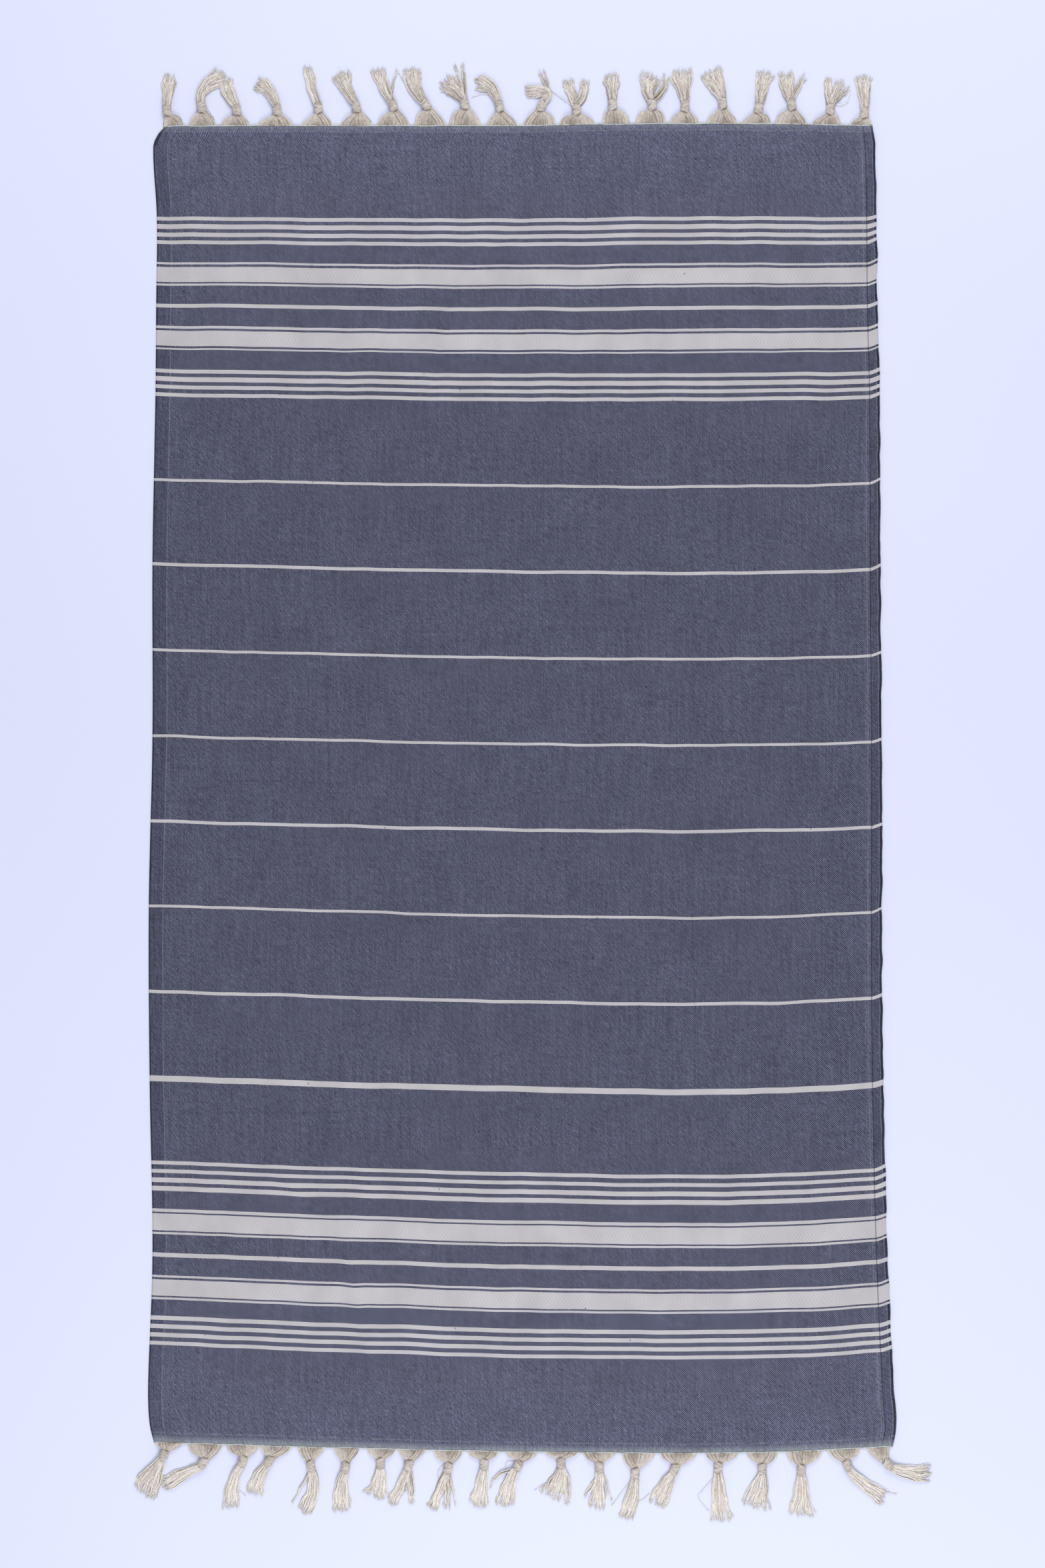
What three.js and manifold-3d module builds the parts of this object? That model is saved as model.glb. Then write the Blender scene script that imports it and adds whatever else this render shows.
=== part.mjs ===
// A fouta towel laid flat: one woven cotton panel with twenty knotted tassels along each end.
// Millimetres, +Z up. +Y runs along the towel to its upper end and +X runs across it to the right.
// The origin is on the surface that the towel lies on, under the middle of the panel.

import * as THREE from "three";
import { mergeVertices } from "three/addons/utils/BufferGeometryUtils.js";
import Module from "manifold-3d";

const manifold = await Module();
manifold.setup();

// Driving dimensions of the panel
const CLOTH_LENGTH = 1809;
const CLOTH_WALL = 1.2;
const SELVEDGE_SHARE = 0.018;
const SELVEDGE_ROLL = 1.1;
const CELLS_ACROSS = 20;
const CELLS_ALONG = 36;
const END_ROWS = [0, 12, 31];
// A crease lower than this is pressed into the upper face alone
const PRESSED_IN = 0.7;
// Share of its height that a crease still has at both ends
const CREASE_END = 0.35;

// Driving dimensions of a tassel
const SEAM_GAP = 0.3;
const WEB_WALL = 1.6;
const KNOT_LENGTH = 13;
const KNOT_WIDTH = 11.5;
const KNOT_HEIGHT = 9;
const STRANDS = 6;
const STRAND_STEPS = 3;
const STRAND_WIDTH = 2.5;
const STRAND_HEIGHT = 2.4;
const STRAND_CLEARANCE = 0.4;
// Shares of its width and height that a strand loses by its tip
const WIDTH_LOSS = 0.35;
const HEIGHT_LOSS = 0.4;
// Where on the knot's length the strands start, and how wide apart
const ROOT_PLACE = 0.94;
const ROOT_SPREAD = 6.4;
// Half widths of a spray where it bends and at its tips, as shares of its row's spread
const TURN_SHARE = 0.3;
const TIP_SHARE = 0.44;
// Half the most that a strand reaches past its row's tips, and how much shorter the outer ones are
const TIP_UNEVENNESS = 3;
const OUTER_SHORTER = 2;
// How far above the surface each of the two layers of strands leaves the knot
const LOW_LAYER = 0.4;
const HIGH_LAYER = 3.2;

// The panel's outline and how its weft bows, a row for each section down the length.
// along: distance from the upper end, on the middle warp. left, right: where the selvedges are.
// riseLeft, riseRight: how far the weft climbs towards each selvedge. hump: how far it dips between.
const SECTIONS = [
  { along: 0, left: -479, right: 484, riseLeft: 0, hump: -3, riseRight: 0 },
  { along: 12, left: -489, right: 486, riseLeft: 1, hump: -3, riseRight: 0 },
  { along: 31, left: -496, right: 488, riseLeft: 2, hump: -3, riseRight: 1 },
  { along: 130, left: -491, right: 490, riseLeft: 3, hump: -3, riseRight: 2 },
  { along: 252, left: -492, right: 491, riseLeft: 6, hump: -2, riseRight: 4 },
  { along: 373, left: -493, right: 494, riseLeft: 7, hump: 0, riseRight: 4 },
  { along: 606, left: -497, right: 495, riseLeft: 11, hump: 2, riseRight: 4 },
  { along: 840, left: -497, right: 497, riseLeft: 11, hump: 2, riseRight: 3 },
  { along: 1077, left: -502, right: 497, riseLeft: 14, hump: 3, riseRight: 5 },
  { along: 1312, left: -501, right: 499, riseLeft: 15, hump: 4, riseRight: 6 },
  { along: 1556, left: -497, right: 505, riseLeft: 18, hump: 3, riseRight: 8 },
  { along: 1740, left: -503, right: 514, riseLeft: 18, hump: 2, riseRight: 9 },
  { along: 1785, left: -501, right: 517, riseLeft: 15, hump: 2, riseRight: 9 },
  { along: 1809, left: -495, right: 512, riseLeft: 13, hump: 2, riseRight: 8 },
];
const MIDDLE_WARP = 0.507;
const LEFT_RISE_POWER = 1.2;
const RIGHT_RISE_POWER = 4;
const TURNED_CORNER = { drop: 1.5, reach: 10, depth: 30 };

// The largest creases, each a soft ridge from one point to another
const CREASES = [
  { fromX: 30, fromY: 800, toX: -84, toY: 690, height: 2.0, halfWidth: 34 },
  { fromX: -84, fromY: 690, toX: -122, toY: 520, height: 2.2, halfWidth: 32 },
  { fromX: -350, fromY: -510, toX: -240, toY: -596, height: 1.9, halfWidth: 34 },
  { fromX: -240, fromY: -596, toX: -200, toY: -790, height: 2.1, halfWidth: 34 },
  { fromX: 10, fromY: 372, toX: 240, toY: 486, height: 1.5, halfWidth: 32 },
  { fromX: -470, fromY: 362, toX: -320, toY: 452, height: 1.3, halfWidth: 32 },
  { fromX: 300, fromY: -330, toX: 420, toY: -250, height: 1.2, halfWidth: 34 },
];

// The tassels, a row each. at: middle of the web on the panel's end. web: its width there.
// The knot, the bend and the tips are given as a shift across from there and a reach outward.
const TOP_TASSELS = [
  { at: -469, web: 28, knot: [-8, 20], bend: [-7, 44], tip: [-5, 70], spread: 19 },
  { at: -429, web: 38, knot: [-1, 24], bend: [-4, 62], tip: [19, 68], spread: 14 },
  { at: -384, web: 41, knot: [2, 20], bend: [-9, 40], tip: [-11, 63], spread: 15 },
  { at: -329, web: 50, knot: [2, 20], bend: [-7, 50], tip: [-26, 58], spread: 20 },
  { at: -273, web: 44, knot: [2, 23], bend: [-8, 48], tip: [-14, 78], spread: 17 },
  { at: -219, web: 46, knot: [0, 24], bend: [-13, 46], tip: [-22, 71], spread: 25 },
  { at: -169, web: 45, knot: [0, 26], bend: [-14, 48], tip: [-19, 74], spread: 24 },
  { at: -118, web: 44, knot: [-6, 27], bend: [-21, 46], tip: [-26, 75], spread: 25 },
  { at: -71, web: 44, knot: [0, 27], bend: [-13, 50], tip: [-22, 71], spread: 38 },
  { at: -20, web: 44, knot: [-5, 24], bend: [-13, 58], tip: [-35, 60], spread: 22 },
  { at: 30, web: 46, knot: [2, 25], bend: [17, 56], tip: [-14, 55], spread: 30 },
  { at: 82, web: 48, knot: [0, 20], bend: [1, 42], tip: [-2, 61], spread: 34 },
  { at: 135, web: 39, knot: [-6, 22], bend: [-8, 44], tip: [-6, 66], spread: 22 },
  { at: 182, web: 42, knot: [3, 24], bend: [4, 44], tip: [6, 64], spread: 36 },
  { at: 228, web: 42, knot: [1, 21], bend: [0, 44], tip: [-5, 72], spread: 31 },
  { at: 279, web: 44, knot: [0, 25], bend: [-12, 48], tip: [-17, 74], spread: 28 },
  { at: 326, web: 41, knot: [2, 20], bend: [9, 42], tip: [13, 70], spread: 24 },
  { at: 374, web: 45, knot: [-1, 21], bend: [-3, 44], tip: [-2, 68], spread: 30 },
  { at: 421, web: 41, knot: [7, 20], bend: [9, 42], tip: [17, 59], spread: 32 },
  { at: 468, web: 31, knot: [6, 16], bend: [5, 42], tip: [5, 66], spread: 24 },
];
const BOTTOM_TASSELS = [
  { at: -474, web: 40, knot: [-7, 15], bend: [-22, 44], tip: [-38, 68], spread: 42 },
  { at: -425, web: 48, knot: [-2, 26], bend: [-22, 31], tip: [-50, 54], spread: 20 },
  { at: -374, web: 46, knot: [0, 21], bend: [-13, 48], tip: [-19, 86], spread: 24 },
  { at: -328, web: 44, knot: [-10, 20], bend: [-25, 38], tip: [-32, 64], spread: 25 },
  { at: -280, web: 39, knot: [-1, 25], bend: [5, 54], tip: [-17, 85], spread: 30 },
  { at: -233, web: 38, knot: [-1, 26], bend: [-10, 54], tip: [-6, 85], spread: 27 },
  { at: -185, web: 40, knot: [-1, 18], bend: [-2, 42], tip: [-10, 66], spread: 34 },
  { at: -143, web: 39, knot: [-6, 20], bend: [-13, 42], tip: [-17, 71], spread: 38 },
  { at: -94, web: 42, knot: [0, 23], bend: [-3, 52], tip: [-9, 81], spread: 36 },
  { at: -46, web: 44, knot: [1, 16], bend: [-2, 42], tip: [-7, 74], spread: 24 },
  { at: 6, web: 45, knot: [-5, 17], bend: [-22, 38], tip: [-26, 72], spread: 29 },
  { at: 61, web: 48, knot: [-1, 13], bend: [0, 36], tip: [-11, 64], spread: 46 },
  { at: 113, web: 46, knot: [-1, 19], bend: [0, 44], tip: [-4, 74], spread: 36 },
  { at: 166, web: 46, knot: [-5, 27], bend: [-6, 56], tip: [-20, 87], spread: 22 },
  { at: 220, web: 52, knot: [-5, 21], bend: [-16, 40], tip: [-31, 70], spread: 29 },
  { at: 279, web: 46, knot: [-5, 19], bend: [-4, 56], tip: [0, 93], spread: 29 },
  { at: 334, web: 44, knot: [0, 22], bend: [-2, 46], tip: [-11, 75], spread: 42 },
  { at: 392, web: 50, knot: [-5, 25], bend: [-3, 56], tip: [-6, 87], spread: 34 },
  { at: 445, web: 46, knot: [5, 21], bend: [20, 46], tip: [54, 64], spread: 23 },
  { at: 492, web: 32, knot: [14, 23], bend: [38, 36], tip: [70, 37], spread: 26 },
];

const COTTON_BLUE = new THREE.MeshStandardMaterial({ color: 0x585b6f, roughness: 0.92, metalness: 0 });
const COTTON_CREAM = new THREE.MeshStandardMaterial({ color: 0xd8cfc6, roughness: 0.95, metalness: 0 });

// Reads one column of SECTIONS at a distance along the panel, as a smooth curve through the rows
function columnAt(column, along) {
  const last = SECTIONS.length - 1;
  let i = 0;
  while (i < last - 1 && along > SECTIONS[i + 1].along) i += 1;
  const slopeAt = (k) => {
    const before = SECTIONS[Math.max(k - 1, 0)];
    const after = SECTIONS[Math.min(k + 1, last)];
    return (after[column] - before[column]) / (after.along - before.along);
  };
  const start = SECTIONS[i];
  const stop = SECTIONS[i + 1];
  const span = stop.along - start.along;
  const t = (along - start.along) / span;
  const eased = t * t * (3 - 2 * t);
  const leaving = t * (1 - t) * (1 - t) * span * slopeAt(i);
  const arriving = t * t * (t - 1) * span * slopeAt(i + 1);
  return start[column] * (1 - eased) + stop[column] * eased + leaving + arriving;
}

// Where the weave point that is a share of the width across and so far along lies on the surface
function lay(share, along) {
  const left = columnAt("left", along);
  const right = columnAt("right", along);
  const x = left + (right - left) * share;
  let dip = 0;
  if (share < MIDDLE_WARP) {
    const toLeft = (MIDDLE_WARP - share) / MIDDLE_WARP;
    dip = -columnAt("riseLeft", along) * Math.pow(toLeft, LEFT_RISE_POWER);
  } else {
    const toRight = (share - MIDDLE_WARP) / (1 - MIDDLE_WARP);
    dip = columnAt("hump", along) * Math.sin(Math.PI * toRight);
    dip -= columnAt("riseRight", along) * Math.pow(toRight, RIGHT_RISE_POWER);
  }
  const nearCorner = Math.exp(-(x - left) / TURNED_CORNER.reach - along / TURNED_CORNER.depth);
  dip += TURNED_CORNER.drop * nearCorner;
  return new THREE.Vector2(x, CLOTH_LENGTH / 2 - along - dip);
}

// Height of the creases over a point, each one soft across and tapering to both ends
function creaseHeight(point) {
  let height = 0;
  for (const crease of CREASES) {
    const from = new THREE.Vector2(crease.fromX, crease.fromY);
    const line = new THREE.Vector2(crease.toX, crease.toY).sub(from);
    const offset = point.clone().sub(from);
    const t = THREE.MathUtils.clamp(offset.dot(line) / line.lengthSq(), 0, 1);
    const aside = offset.sub(line.multiplyScalar(t)).length() / crease.halfWidth;
    const taper = CREASE_END + (1 - CREASE_END) * Math.sin(Math.PI * t);
    height = Math.max(height, crease.height * taper * Math.exp(-aside * aside));
  }
  return height;
}

// Distances along the panel where it has a row of points, closer together at the turned corners
function rowsAlong() {
  const inner = END_ROWS[END_ROWS.length - 1];
  const rows = [...END_ROWS];
  for (let i = 1; i < CELLS_ALONG; i += 1) {
    rows.push(inner + ((CLOTH_LENGTH - 2 * inner) * i) / CELLS_ALONG);
  }
  for (const near of [...END_ROWS].reverse()) rows.push(CLOTH_LENGTH - near);
  return rows;
}

// Shares of the width where the panel has a column of points, with a narrow one at each selvedge
function sharesAcross() {
  const shares = [0];
  for (let i = 0; i <= CELLS_ACROSS; i += 1) {
    shares.push(SELVEDGE_SHARE + ((1 - 2 * SELVEDGE_SHARE) * i) / CELLS_ACROSS);
  }
  shares.push(1);
  return shares;
}

function geometryFrom(points, indices) {
  const geometry = new THREE.BufferGeometry();
  geometry.setAttribute("position", new THREE.Float32BufferAttribute(points, 3));
  geometry.setIndex(indices);
  return geometry;
}

// The panel: an upper and a lower face on the same grid, joined round the edge
function clothGeometry() {
  const rows = rowsAlong();
  const shares = sharesAcross();
  const width = shares.length;
  const upper = [];
  const lower = [];
  for (const along of rows) {
    for (const share of shares) {
      const place = lay(share, along);
      const lift = creaseHeight(place);
      const roll = share === 1 ? SELVEDGE_ROLL : 0;
      upper.push(place.x, place.y, CLOTH_WALL + lift + roll);
      lower.push(place.x, place.y, Math.max(0, lift - PRESSED_IN));
    }
  }
  const under = rows.length * width;
  const indices = [];
  for (let r = 0; r < rows.length - 1; r += 1) {
    for (let c = 0; c < width - 1; c += 1) {
      const a = r * width + c;
      const b = a + 1;
      const d = a + width;
      const e = d + 1;
      indices.push(a, d, b, b, d, e);
      indices.push(under + a, under + b, under + d, under + b, under + e, under + d);
    }
  }
  const rim = [];
  for (let c = 0; c < width - 1; c += 1) rim.push(c);
  for (let r = 0; r < rows.length - 1; r += 1) rim.push(r * width + width - 1);
  for (let c = width - 1; c > 0; c -= 1) rim.push((rows.length - 1) * width + c);
  for (let r = rows.length - 1; r > 0; r -= 1) rim.push(r * width);
  rim.forEach((a, i) => {
    const b = rim[(i + 1) % rim.length];
    indices.push(a, b, under + a, b, under + b, under + a);
  });
  return geometryFrom([...upper, ...lower], indices);
}

// A closed solid through a row of rings that all have the same number of points
function loft(rings) {
  const sides = rings[0].length;
  const points = rings.flat().flatMap((p) => [p.x, p.y, p.z]);
  const indices = [];
  for (let r = 0; r < rings.length - 1; r += 1) {
    for (let s = 0; s < sides; s += 1) {
      const a = r * sides + s;
      const b = r * sides + ((s + 1) % sides);
      indices.push(a, b, a + sides, b, b + sides, a + sides);
    }
  }
  const end = (rings.length - 1) * sides;
  for (let s = 1; s < sides - 1; s += 1) {
    indices.push(0, s + 1, s);
    indices.push(end, end + s, end + s + 1);
  }
  return geometryFrom(points, indices);
}

function volumeOf(geometry) {
  const position = geometry.getAttribute("position");
  const corner = (i) => new THREE.Vector3().fromBufferAttribute(position, geometry.index.getX(i));
  let volume = 0;
  for (let i = 0; i < geometry.index.count; i += 3) {
    volume += corner(i).dot(corner(i + 1).cross(corner(i + 2))) / 6;
  }
  return volume;
}

function turnedOutward(geometry) {
  if (volumeOf(geometry) > 0) return geometry;
  const indices = Array.from(geometry.index.array);
  for (let i = 0; i < indices.length; i += 3) {
    [indices[i + 1], indices[i + 2]] = [indices[i + 2], indices[i + 1]];
  }
  geometry.setIndex(indices);
  return geometry;
}

function toSolid(geometry) {
  const merged = mergeVertices(turnedOutward(geometry));
  return new manifold.Manifold(
    new manifold.Mesh({
      numProp: 3,
      vertProperties: new Float32Array(merged.getAttribute("position").array),
      triVerts: new Uint32Array(merged.index.array),
    }),
  );
}

function toGeometry(solid) {
  const mesh = solid.getMesh();
  return geometryFrom(Array.from(mesh.vertProperties), Array.from(mesh.triVerts));
}

// A small uneven amount from -1 to 1 that is the same at each run
function uneven(seed) {
  const wave = Math.sin(seed * 12.9898) * 43758.5453;
  return 2 * (wave - Math.floor(wave)) - 1;
}

// A ring with a flat underside and a domed top, across the direction in which the yarns run
function domedRing(centre, across, halfWidth, height) {
  const outline = [
    [-1, 0],
    [1, 0],
    [1, 0.68],
    [0.6, 1],
    [-0.6, 1],
    [-1, 0.68],
  ];
  return outline.map(([side, up]) => {
    const spot = centre.clone().addScaledVector(across, side * halfWidth);
    return new THREE.Vector3(spot.x, spot.y, up * height);
  });
}

// The web of warp yarns that leaves the panel's end and the knot that gathers it, as one solid
function headGeometry(base, edgeAcross, knot, heading, web) {
  const acrossKnot = new THREE.Vector2(-heading.y, heading.x);
  if (acrossKnot.dot(edgeAcross) < 0) acrossKnot.negate();
  const knotStart = knot.clone().addScaledVector(heading, -KNOT_LENGTH / 2);
  const webProfile = [
    { t: 0, width: 1, height: WEB_WALL },
    { t: 0.4, width: 0.9, height: WEB_WALL * 1.5 },
    { t: 0.78, width: 0.58, height: WEB_WALL * 2.3 },
  ];
  const knotProfile = [
    { t: 0, width: 0.74, height: 0.64 },
    { t: 0.45, width: 1, height: 1 },
    { t: 1, width: 0.9, height: 0.72 },
  ];
  const rings = webProfile.map(({ t, width, height }) => {
    const centre = base.clone().lerp(knotStart, t);
    const across = edgeAcross.clone().lerp(acrossKnot, t * t).normalize();
    return domedRing(centre, across, (web / 2) * width, height);
  });
  for (const { t, width, height } of knotProfile) {
    const centre = knotStart.clone().addScaledVector(heading, KNOT_LENGTH * t);
    rings.push(domedRing(centre, acrossKnot, (KNOT_WIDTH / 2) * width, KNOT_HEIGHT * height));
  }
  return loft(rings);
}

// One lock of the spray: three-sided, bending from the knot to its own tip, just clear of the surface
function strandGeometry(root, bend, tip, layer) {
  const path = new THREE.QuadraticBezierCurve(root, bend, tip);
  const rings = [];
  for (let i = 0; i <= STRAND_STEPS; i += 1) {
    const t = i / STRAND_STEPS;
    const spot = path.getPoint(t);
    const way = path.getTangent(t);
    const across = new THREE.Vector2(-way.y, way.x);
    const halfWidth = (STRAND_WIDTH / 2) * (1 - WIDTH_LOSS * t);
    const height = STRAND_HEIGHT * (1 - HEIGHT_LOSS * t);
    const low = STRAND_CLEARANCE + layer * (1 - t * t * t);
    const one = spot.clone().addScaledVector(across, halfWidth);
    const other = spot.clone().addScaledVector(across, -halfWidth);
    rings.push([
      new THREE.Vector3(one.x, one.y, low),
      new THREE.Vector3(other.x, other.y, low),
      new THREE.Vector3(spot.x, spot.y, low + height),
    ]);
  }
  return loft(rings);
}

// The panel's own end, as the straight runs between its columns of points
function endLine(outward) {
  const endAlong = outward > 0 ? 0 : CLOTH_LENGTH;
  return sharesAcross().map((share) => lay(share, endAlong));
}

function pointOnEnd(line, x) {
  const next = Math.max(1, line.findIndex((p) => p.x >= x));
  const from = line[next - 1];
  const to = line[next];
  return from.clone().lerp(to, (x - from.x) / (to.x - from.x));
}

// How far the panel's end bulges past the straight line between two of its points
function bulgeBetween(line, one, other, outward) {
  const inside = line.filter((p) => p.x > one.x && p.x < other.x);
  const bulges = inside.map((p) => {
    const chord = one.clone().lerp(other, (p.x - one.x) / (other.x - one.x));
    return outward * (p.y - chord.y);
  });
  return Math.max(0, ...bulges);
}

// One tassel. outward is 1 at the upper end and -1 at the lower end
function tasselGeometry(row, outward, seed) {
  const line = endLine(outward);
  const edge = pointOnEnd(line, row.at);
  const one = pointOnEnd(line, row.at - row.web / 2);
  const other = pointOnEnd(line, row.at + row.web / 2);
  const edgeAcross = other.clone().sub(one).normalize();
  const clear = SEAM_GAP + bulgeBetween(line, one, other, outward);
  const base = one.clone().add(other).multiplyScalar(0.5);
  base.y += outward * clear;
  const placed = ([shift, reach]) => new THREE.Vector2(edge.x + shift, edge.y + outward * reach);
  const knot = placed(row.knot);
  const bend = placed(row.bend);
  const tip = placed(row.tip);
  const arriving = knot.clone().sub(base).normalize();
  const heading = bend.clone().sub(knot).normalize().add(arriving).normalize();
  const leaving = tip.clone().sub(bend).normalize();
  const acrossRoot = new THREE.Vector2(-heading.y, heading.x);
  const acrossTip = new THREE.Vector2(-leaving.y, leaving.x);
  const knotEnd = knot.clone().addScaledVector(heading, KNOT_LENGTH * (ROOT_PLACE - 0.5));
  let solid = toSolid(headGeometry(base, edgeAcross, knot, heading, row.web));
  for (let i = 0; i < STRANDS; i += 1) {
    const side = (2 * i) / (STRANDS - 1) - 1;
    const root = knotEnd.clone().addScaledVector(acrossRoot, (side * ROOT_SPREAD) / 2);
    const turn = bend.clone().addScaledVector(acrossRoot, side * row.spread * TURN_SHARE);
    const reach = TIP_UNEVENNESS * (1 + uneven(seed + i)) - OUTER_SHORTER * side * side;
    const end = tip.clone().addScaledVector(acrossTip, side * row.spread * TIP_SHARE);
    end.addScaledVector(leaving, reach);
    const layer = i % 2 === 0 ? LOW_LAYER : HIGH_LAYER;
    solid = solid.add(toSolid(strandGeometry(root, turn, end, layer)));
  }
  return toGeometry(solid);
}

const towel = new THREE.Group();

function addPiece(name, geometry, material) {
  const piece = new THREE.Mesh(geometry, material);
  piece.name = name;
  towel.add(piece);
}

addPiece("cloth_body", clothGeometry(), COTTON_BLUE);

const ENDS = [
  { label: "top", rows: TOP_TASSELS, outward: 1 },
  { label: "bottom", rows: BOTTOM_TASSELS, outward: -1 },
];
for (const { label, rows, outward } of ENDS) {
  rows.forEach((row, i) => {
    const number = String(i + 1).padStart(2, "0");
    const seed = (outward + 2) * 100 + i * STRANDS;
    addPiece(`tassel_${label}_${number}`, tasselGeometry(row, outward, seed), COTTON_CREAM);
  });
}

export default towel;
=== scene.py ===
# A fouta towel laid flat on a pale floor, seen from straight above: a striped cotton twill panel with
# twenty knotted tassels along each end. Tables and sizes are in millimetres, and MM turns them into metres.
import math

import bpy
import numpy as np
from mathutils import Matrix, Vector, noise


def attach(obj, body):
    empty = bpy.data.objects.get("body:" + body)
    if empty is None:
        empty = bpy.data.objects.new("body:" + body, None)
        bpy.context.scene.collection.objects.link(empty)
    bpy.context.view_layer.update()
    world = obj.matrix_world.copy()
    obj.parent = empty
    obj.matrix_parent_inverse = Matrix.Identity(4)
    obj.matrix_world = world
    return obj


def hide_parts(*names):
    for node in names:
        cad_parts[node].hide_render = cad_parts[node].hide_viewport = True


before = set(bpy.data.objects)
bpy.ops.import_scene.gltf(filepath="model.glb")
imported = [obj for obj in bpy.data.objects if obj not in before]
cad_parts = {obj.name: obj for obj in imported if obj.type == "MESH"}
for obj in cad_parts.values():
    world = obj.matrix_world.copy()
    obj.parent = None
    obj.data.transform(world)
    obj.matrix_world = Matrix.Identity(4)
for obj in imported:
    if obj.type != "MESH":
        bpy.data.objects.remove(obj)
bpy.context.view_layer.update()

MM = 0.001
UP = np.array([0.0, 0.0, 1.0])

# The camera looks straight down and sees this length along the photograph's long side
VIEW_LENGTH = 2138
VIEW_MIDDLE = (7.3, 6.4)
LENS = 85
SENSOR = 36

# The panel
CLOTH_LENGTH = 1809
CLOTH_WIDTH = 992
CLOTH_WALL = 1.2
PRESSED_IN = 0.7
CREASE_END = 0.35
MIDDLE_WARP = 0.507
LEFT_RISE_POWER = 1.2
RIGHT_RISE_POWER = 4
TURNED_CORNER = {"drop": 1.5, "reach": 10, "depth": 30}
# How far the panel's face is lifted on average, and how far its rim stands out between the two faces
REST_LIFT = 0.3
RIM_REACH = 0.25
# Cells of the grid over the left selvedge, the field and the right strip, and over an end strip, the
# length between and the other end strip
COLUMN_CELLS = (7, 128, 12)
ROW_CELLS = (6, 262, 6)
END_STRIP = 16
# Uneven forms of the panel as waves: wavelengths across and along, seed and height
SWELL_WAVES = ((120, 150, 1, 0.3), (45, 60, 2, 0.15))
DRIFT_WAVES = ((95, 260, 3, 0.8),)
RIPPLE_WAVES = ((1, 34, 4, 1.5), (1, 15, 5, 0.9))
CURL_WAVES = ((1, 60, 6, 1.0),)
BEND_WAVES = ((1, 70, 7, 4.62),)
# This near to an end the weft lies calmer
CALM_END = 60

# The panel's outline and how its weft bows: distance from the upper end, places of the selvedges,
# climb of the weft towards each of them and its dip between the middle warp and the right one
SECTION_NAMES = ("along", "left", "right", "rise_left", "hump", "rise_right")
SECTIONS = [
    (0, -479, 484, 0, -3, 0),
    (12, -489, 486, 1, -3, 0),
    (31, -496, 488, 2, -3, 1),
    (130, -491, 490, 3, -3, 2),
    (252, -492, 491, 6, -2, 4),
    (373, -493, 494, 7, 0, 4),
    (606, -497, 495, 11, 2, 4),
    (840, -497, 497, 11, 2, 3),
    (1077, -502, 497, 14, 3, 5),
    (1312, -501, 499, 15, 4, 6),
    (1556, -497, 505, 18, 3, 8),
    (1740, -503, 514, 18, 2, 9),
    (1785, -501, 517, 15, 2, 9),
    (1809, -495, 512, 13, 2, 8),
]

# Soft ridges: from, to, height and half width. A sharp crest of the same line lies on top of each.
CREASES = [
    ((30, 800), (-84, 690), 2.0, 34),
    ((-84, 690), (-122, 520), 2.2, 32),
    ((-350, -510), (-240, -596), 1.9, 34),
    ((-240, -596), (-200, -790), 2.1, 34),
    ((10, 372), (240, 486), 1.5, 32),
    ((-470, 362), (-320, 452), 1.3, 32),
    ((300, -330), (420, -250), 1.2, 34),
]
CREST_HEIGHT = 0.45
CREST_HALF_WIDTH = 9
CREST_PULL = 0.9

# Lines left by the towel's folds, and small wrinkles: from, to, height and half width
FOLD_LINES = [
    ((-269, 820), (-262, -840), 0.28, 8),
    ((-9, 860), (-6, -860), 0.25, 7),
    ((245, 700), (246, 100), 0.22, 7),
    ((244, 60), (247, -430), 0.45, 7),
    ((-480, 190), (470, 188), 0.25, 8),
    ((-480, 8), (480, 5), 0.22, 8),
    ((-480, -372), (480, -378), 0.24, 8),
    ((-470, -438), (300, -444), 0.42, 7),
    ((145, 426), (212, 466), -0.55, 8),
    ((-300, 120), (-262, 60), 0.4, 9),
    ((320, -60), (372, -118), 0.4, 9),
    ((330, 610), (420, 560), 0.35, 10),
    ((-420, -700), (-350, -742), 0.4, 10),
]

# Pressed creases, whose shade is painted as thin darker lines: from, to, half width and how much darker
CREASE_SHADES = [
    ((154, 435), (209, 477), 2.4, 0.24),
    ((42, 386), (96, 414), 2.4, 0.12),
    ((-420, 12), (-300, 10), 2.4, 0.22),
    ((-425, -441), (-205, -440), 2.2, 0.16),
    ((-225, -440), (-8, -431), 2.2, 0.16),
    ((240, -60), (242, -412), 2.4, 0.15),
    ((239, 400), (240, 30), 2.4, 0.08),
    ((-258, 240), (-257, -90), 2.6, 0.08),
]
CREASE_FADE = 25
CREASE_WAVER = 6

# Widths of the plain weave at the panel's four sides
LEFT_SELVEDGE = 19
RIGHT_PALE_STRIP = 22
RIGHT_CREASE = 13.5
HEADING = 9.5
LOWER_HEADING = 13
# How far the right edge curls up and bends along the panel on average
SELVEDGE_CURL = 1.5
SELVEDGE_BEND = 4.2

# The weave. Four warps and four picks make one repeat of the twill.
WARP_PITCH = 0.592
PICK_PITCH = 0.725
WARP_CROWDING = 0.1
# How far the twill lines run to the right for each step towards the lower end
TWILL_SLOPE = WARP_PITCH / PICK_PITCH
TWILL_REPEAT = 4
PICK_WOBBLE = 2.2
WOBBLE_GRAINS = (16, 7, 1.0)

# Nearly all values of a noise lie in this range
NOISE_RANGE = (0.3, 0.7)
# Uneven looks of the weave: grains in a metre across and along, lowest and highest value, and detail
WARP_STREAKS = (480, 12, 0.86, 1.14)
WEFT_STREAKS = (12, 520, 0.95, 1.05)
GRAIN = (560, 340, 0.76, 1.24, 1.0)
LEANING_STREAKS = (520, 110, 0.76, 1.24, 1.0)
MOTTLE = (22, 16, 0.94, 1.06, 3.0)
PLAIN_RIBS = (900, 25, -0.07, 0.07)
# How much lighter the ground is painted towards both ends, as painted light, and how steeply it gets so
PAINTED_END_LIGHT = 0.26
PAINTED_END_LIGHT_POWER = 4.5

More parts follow.
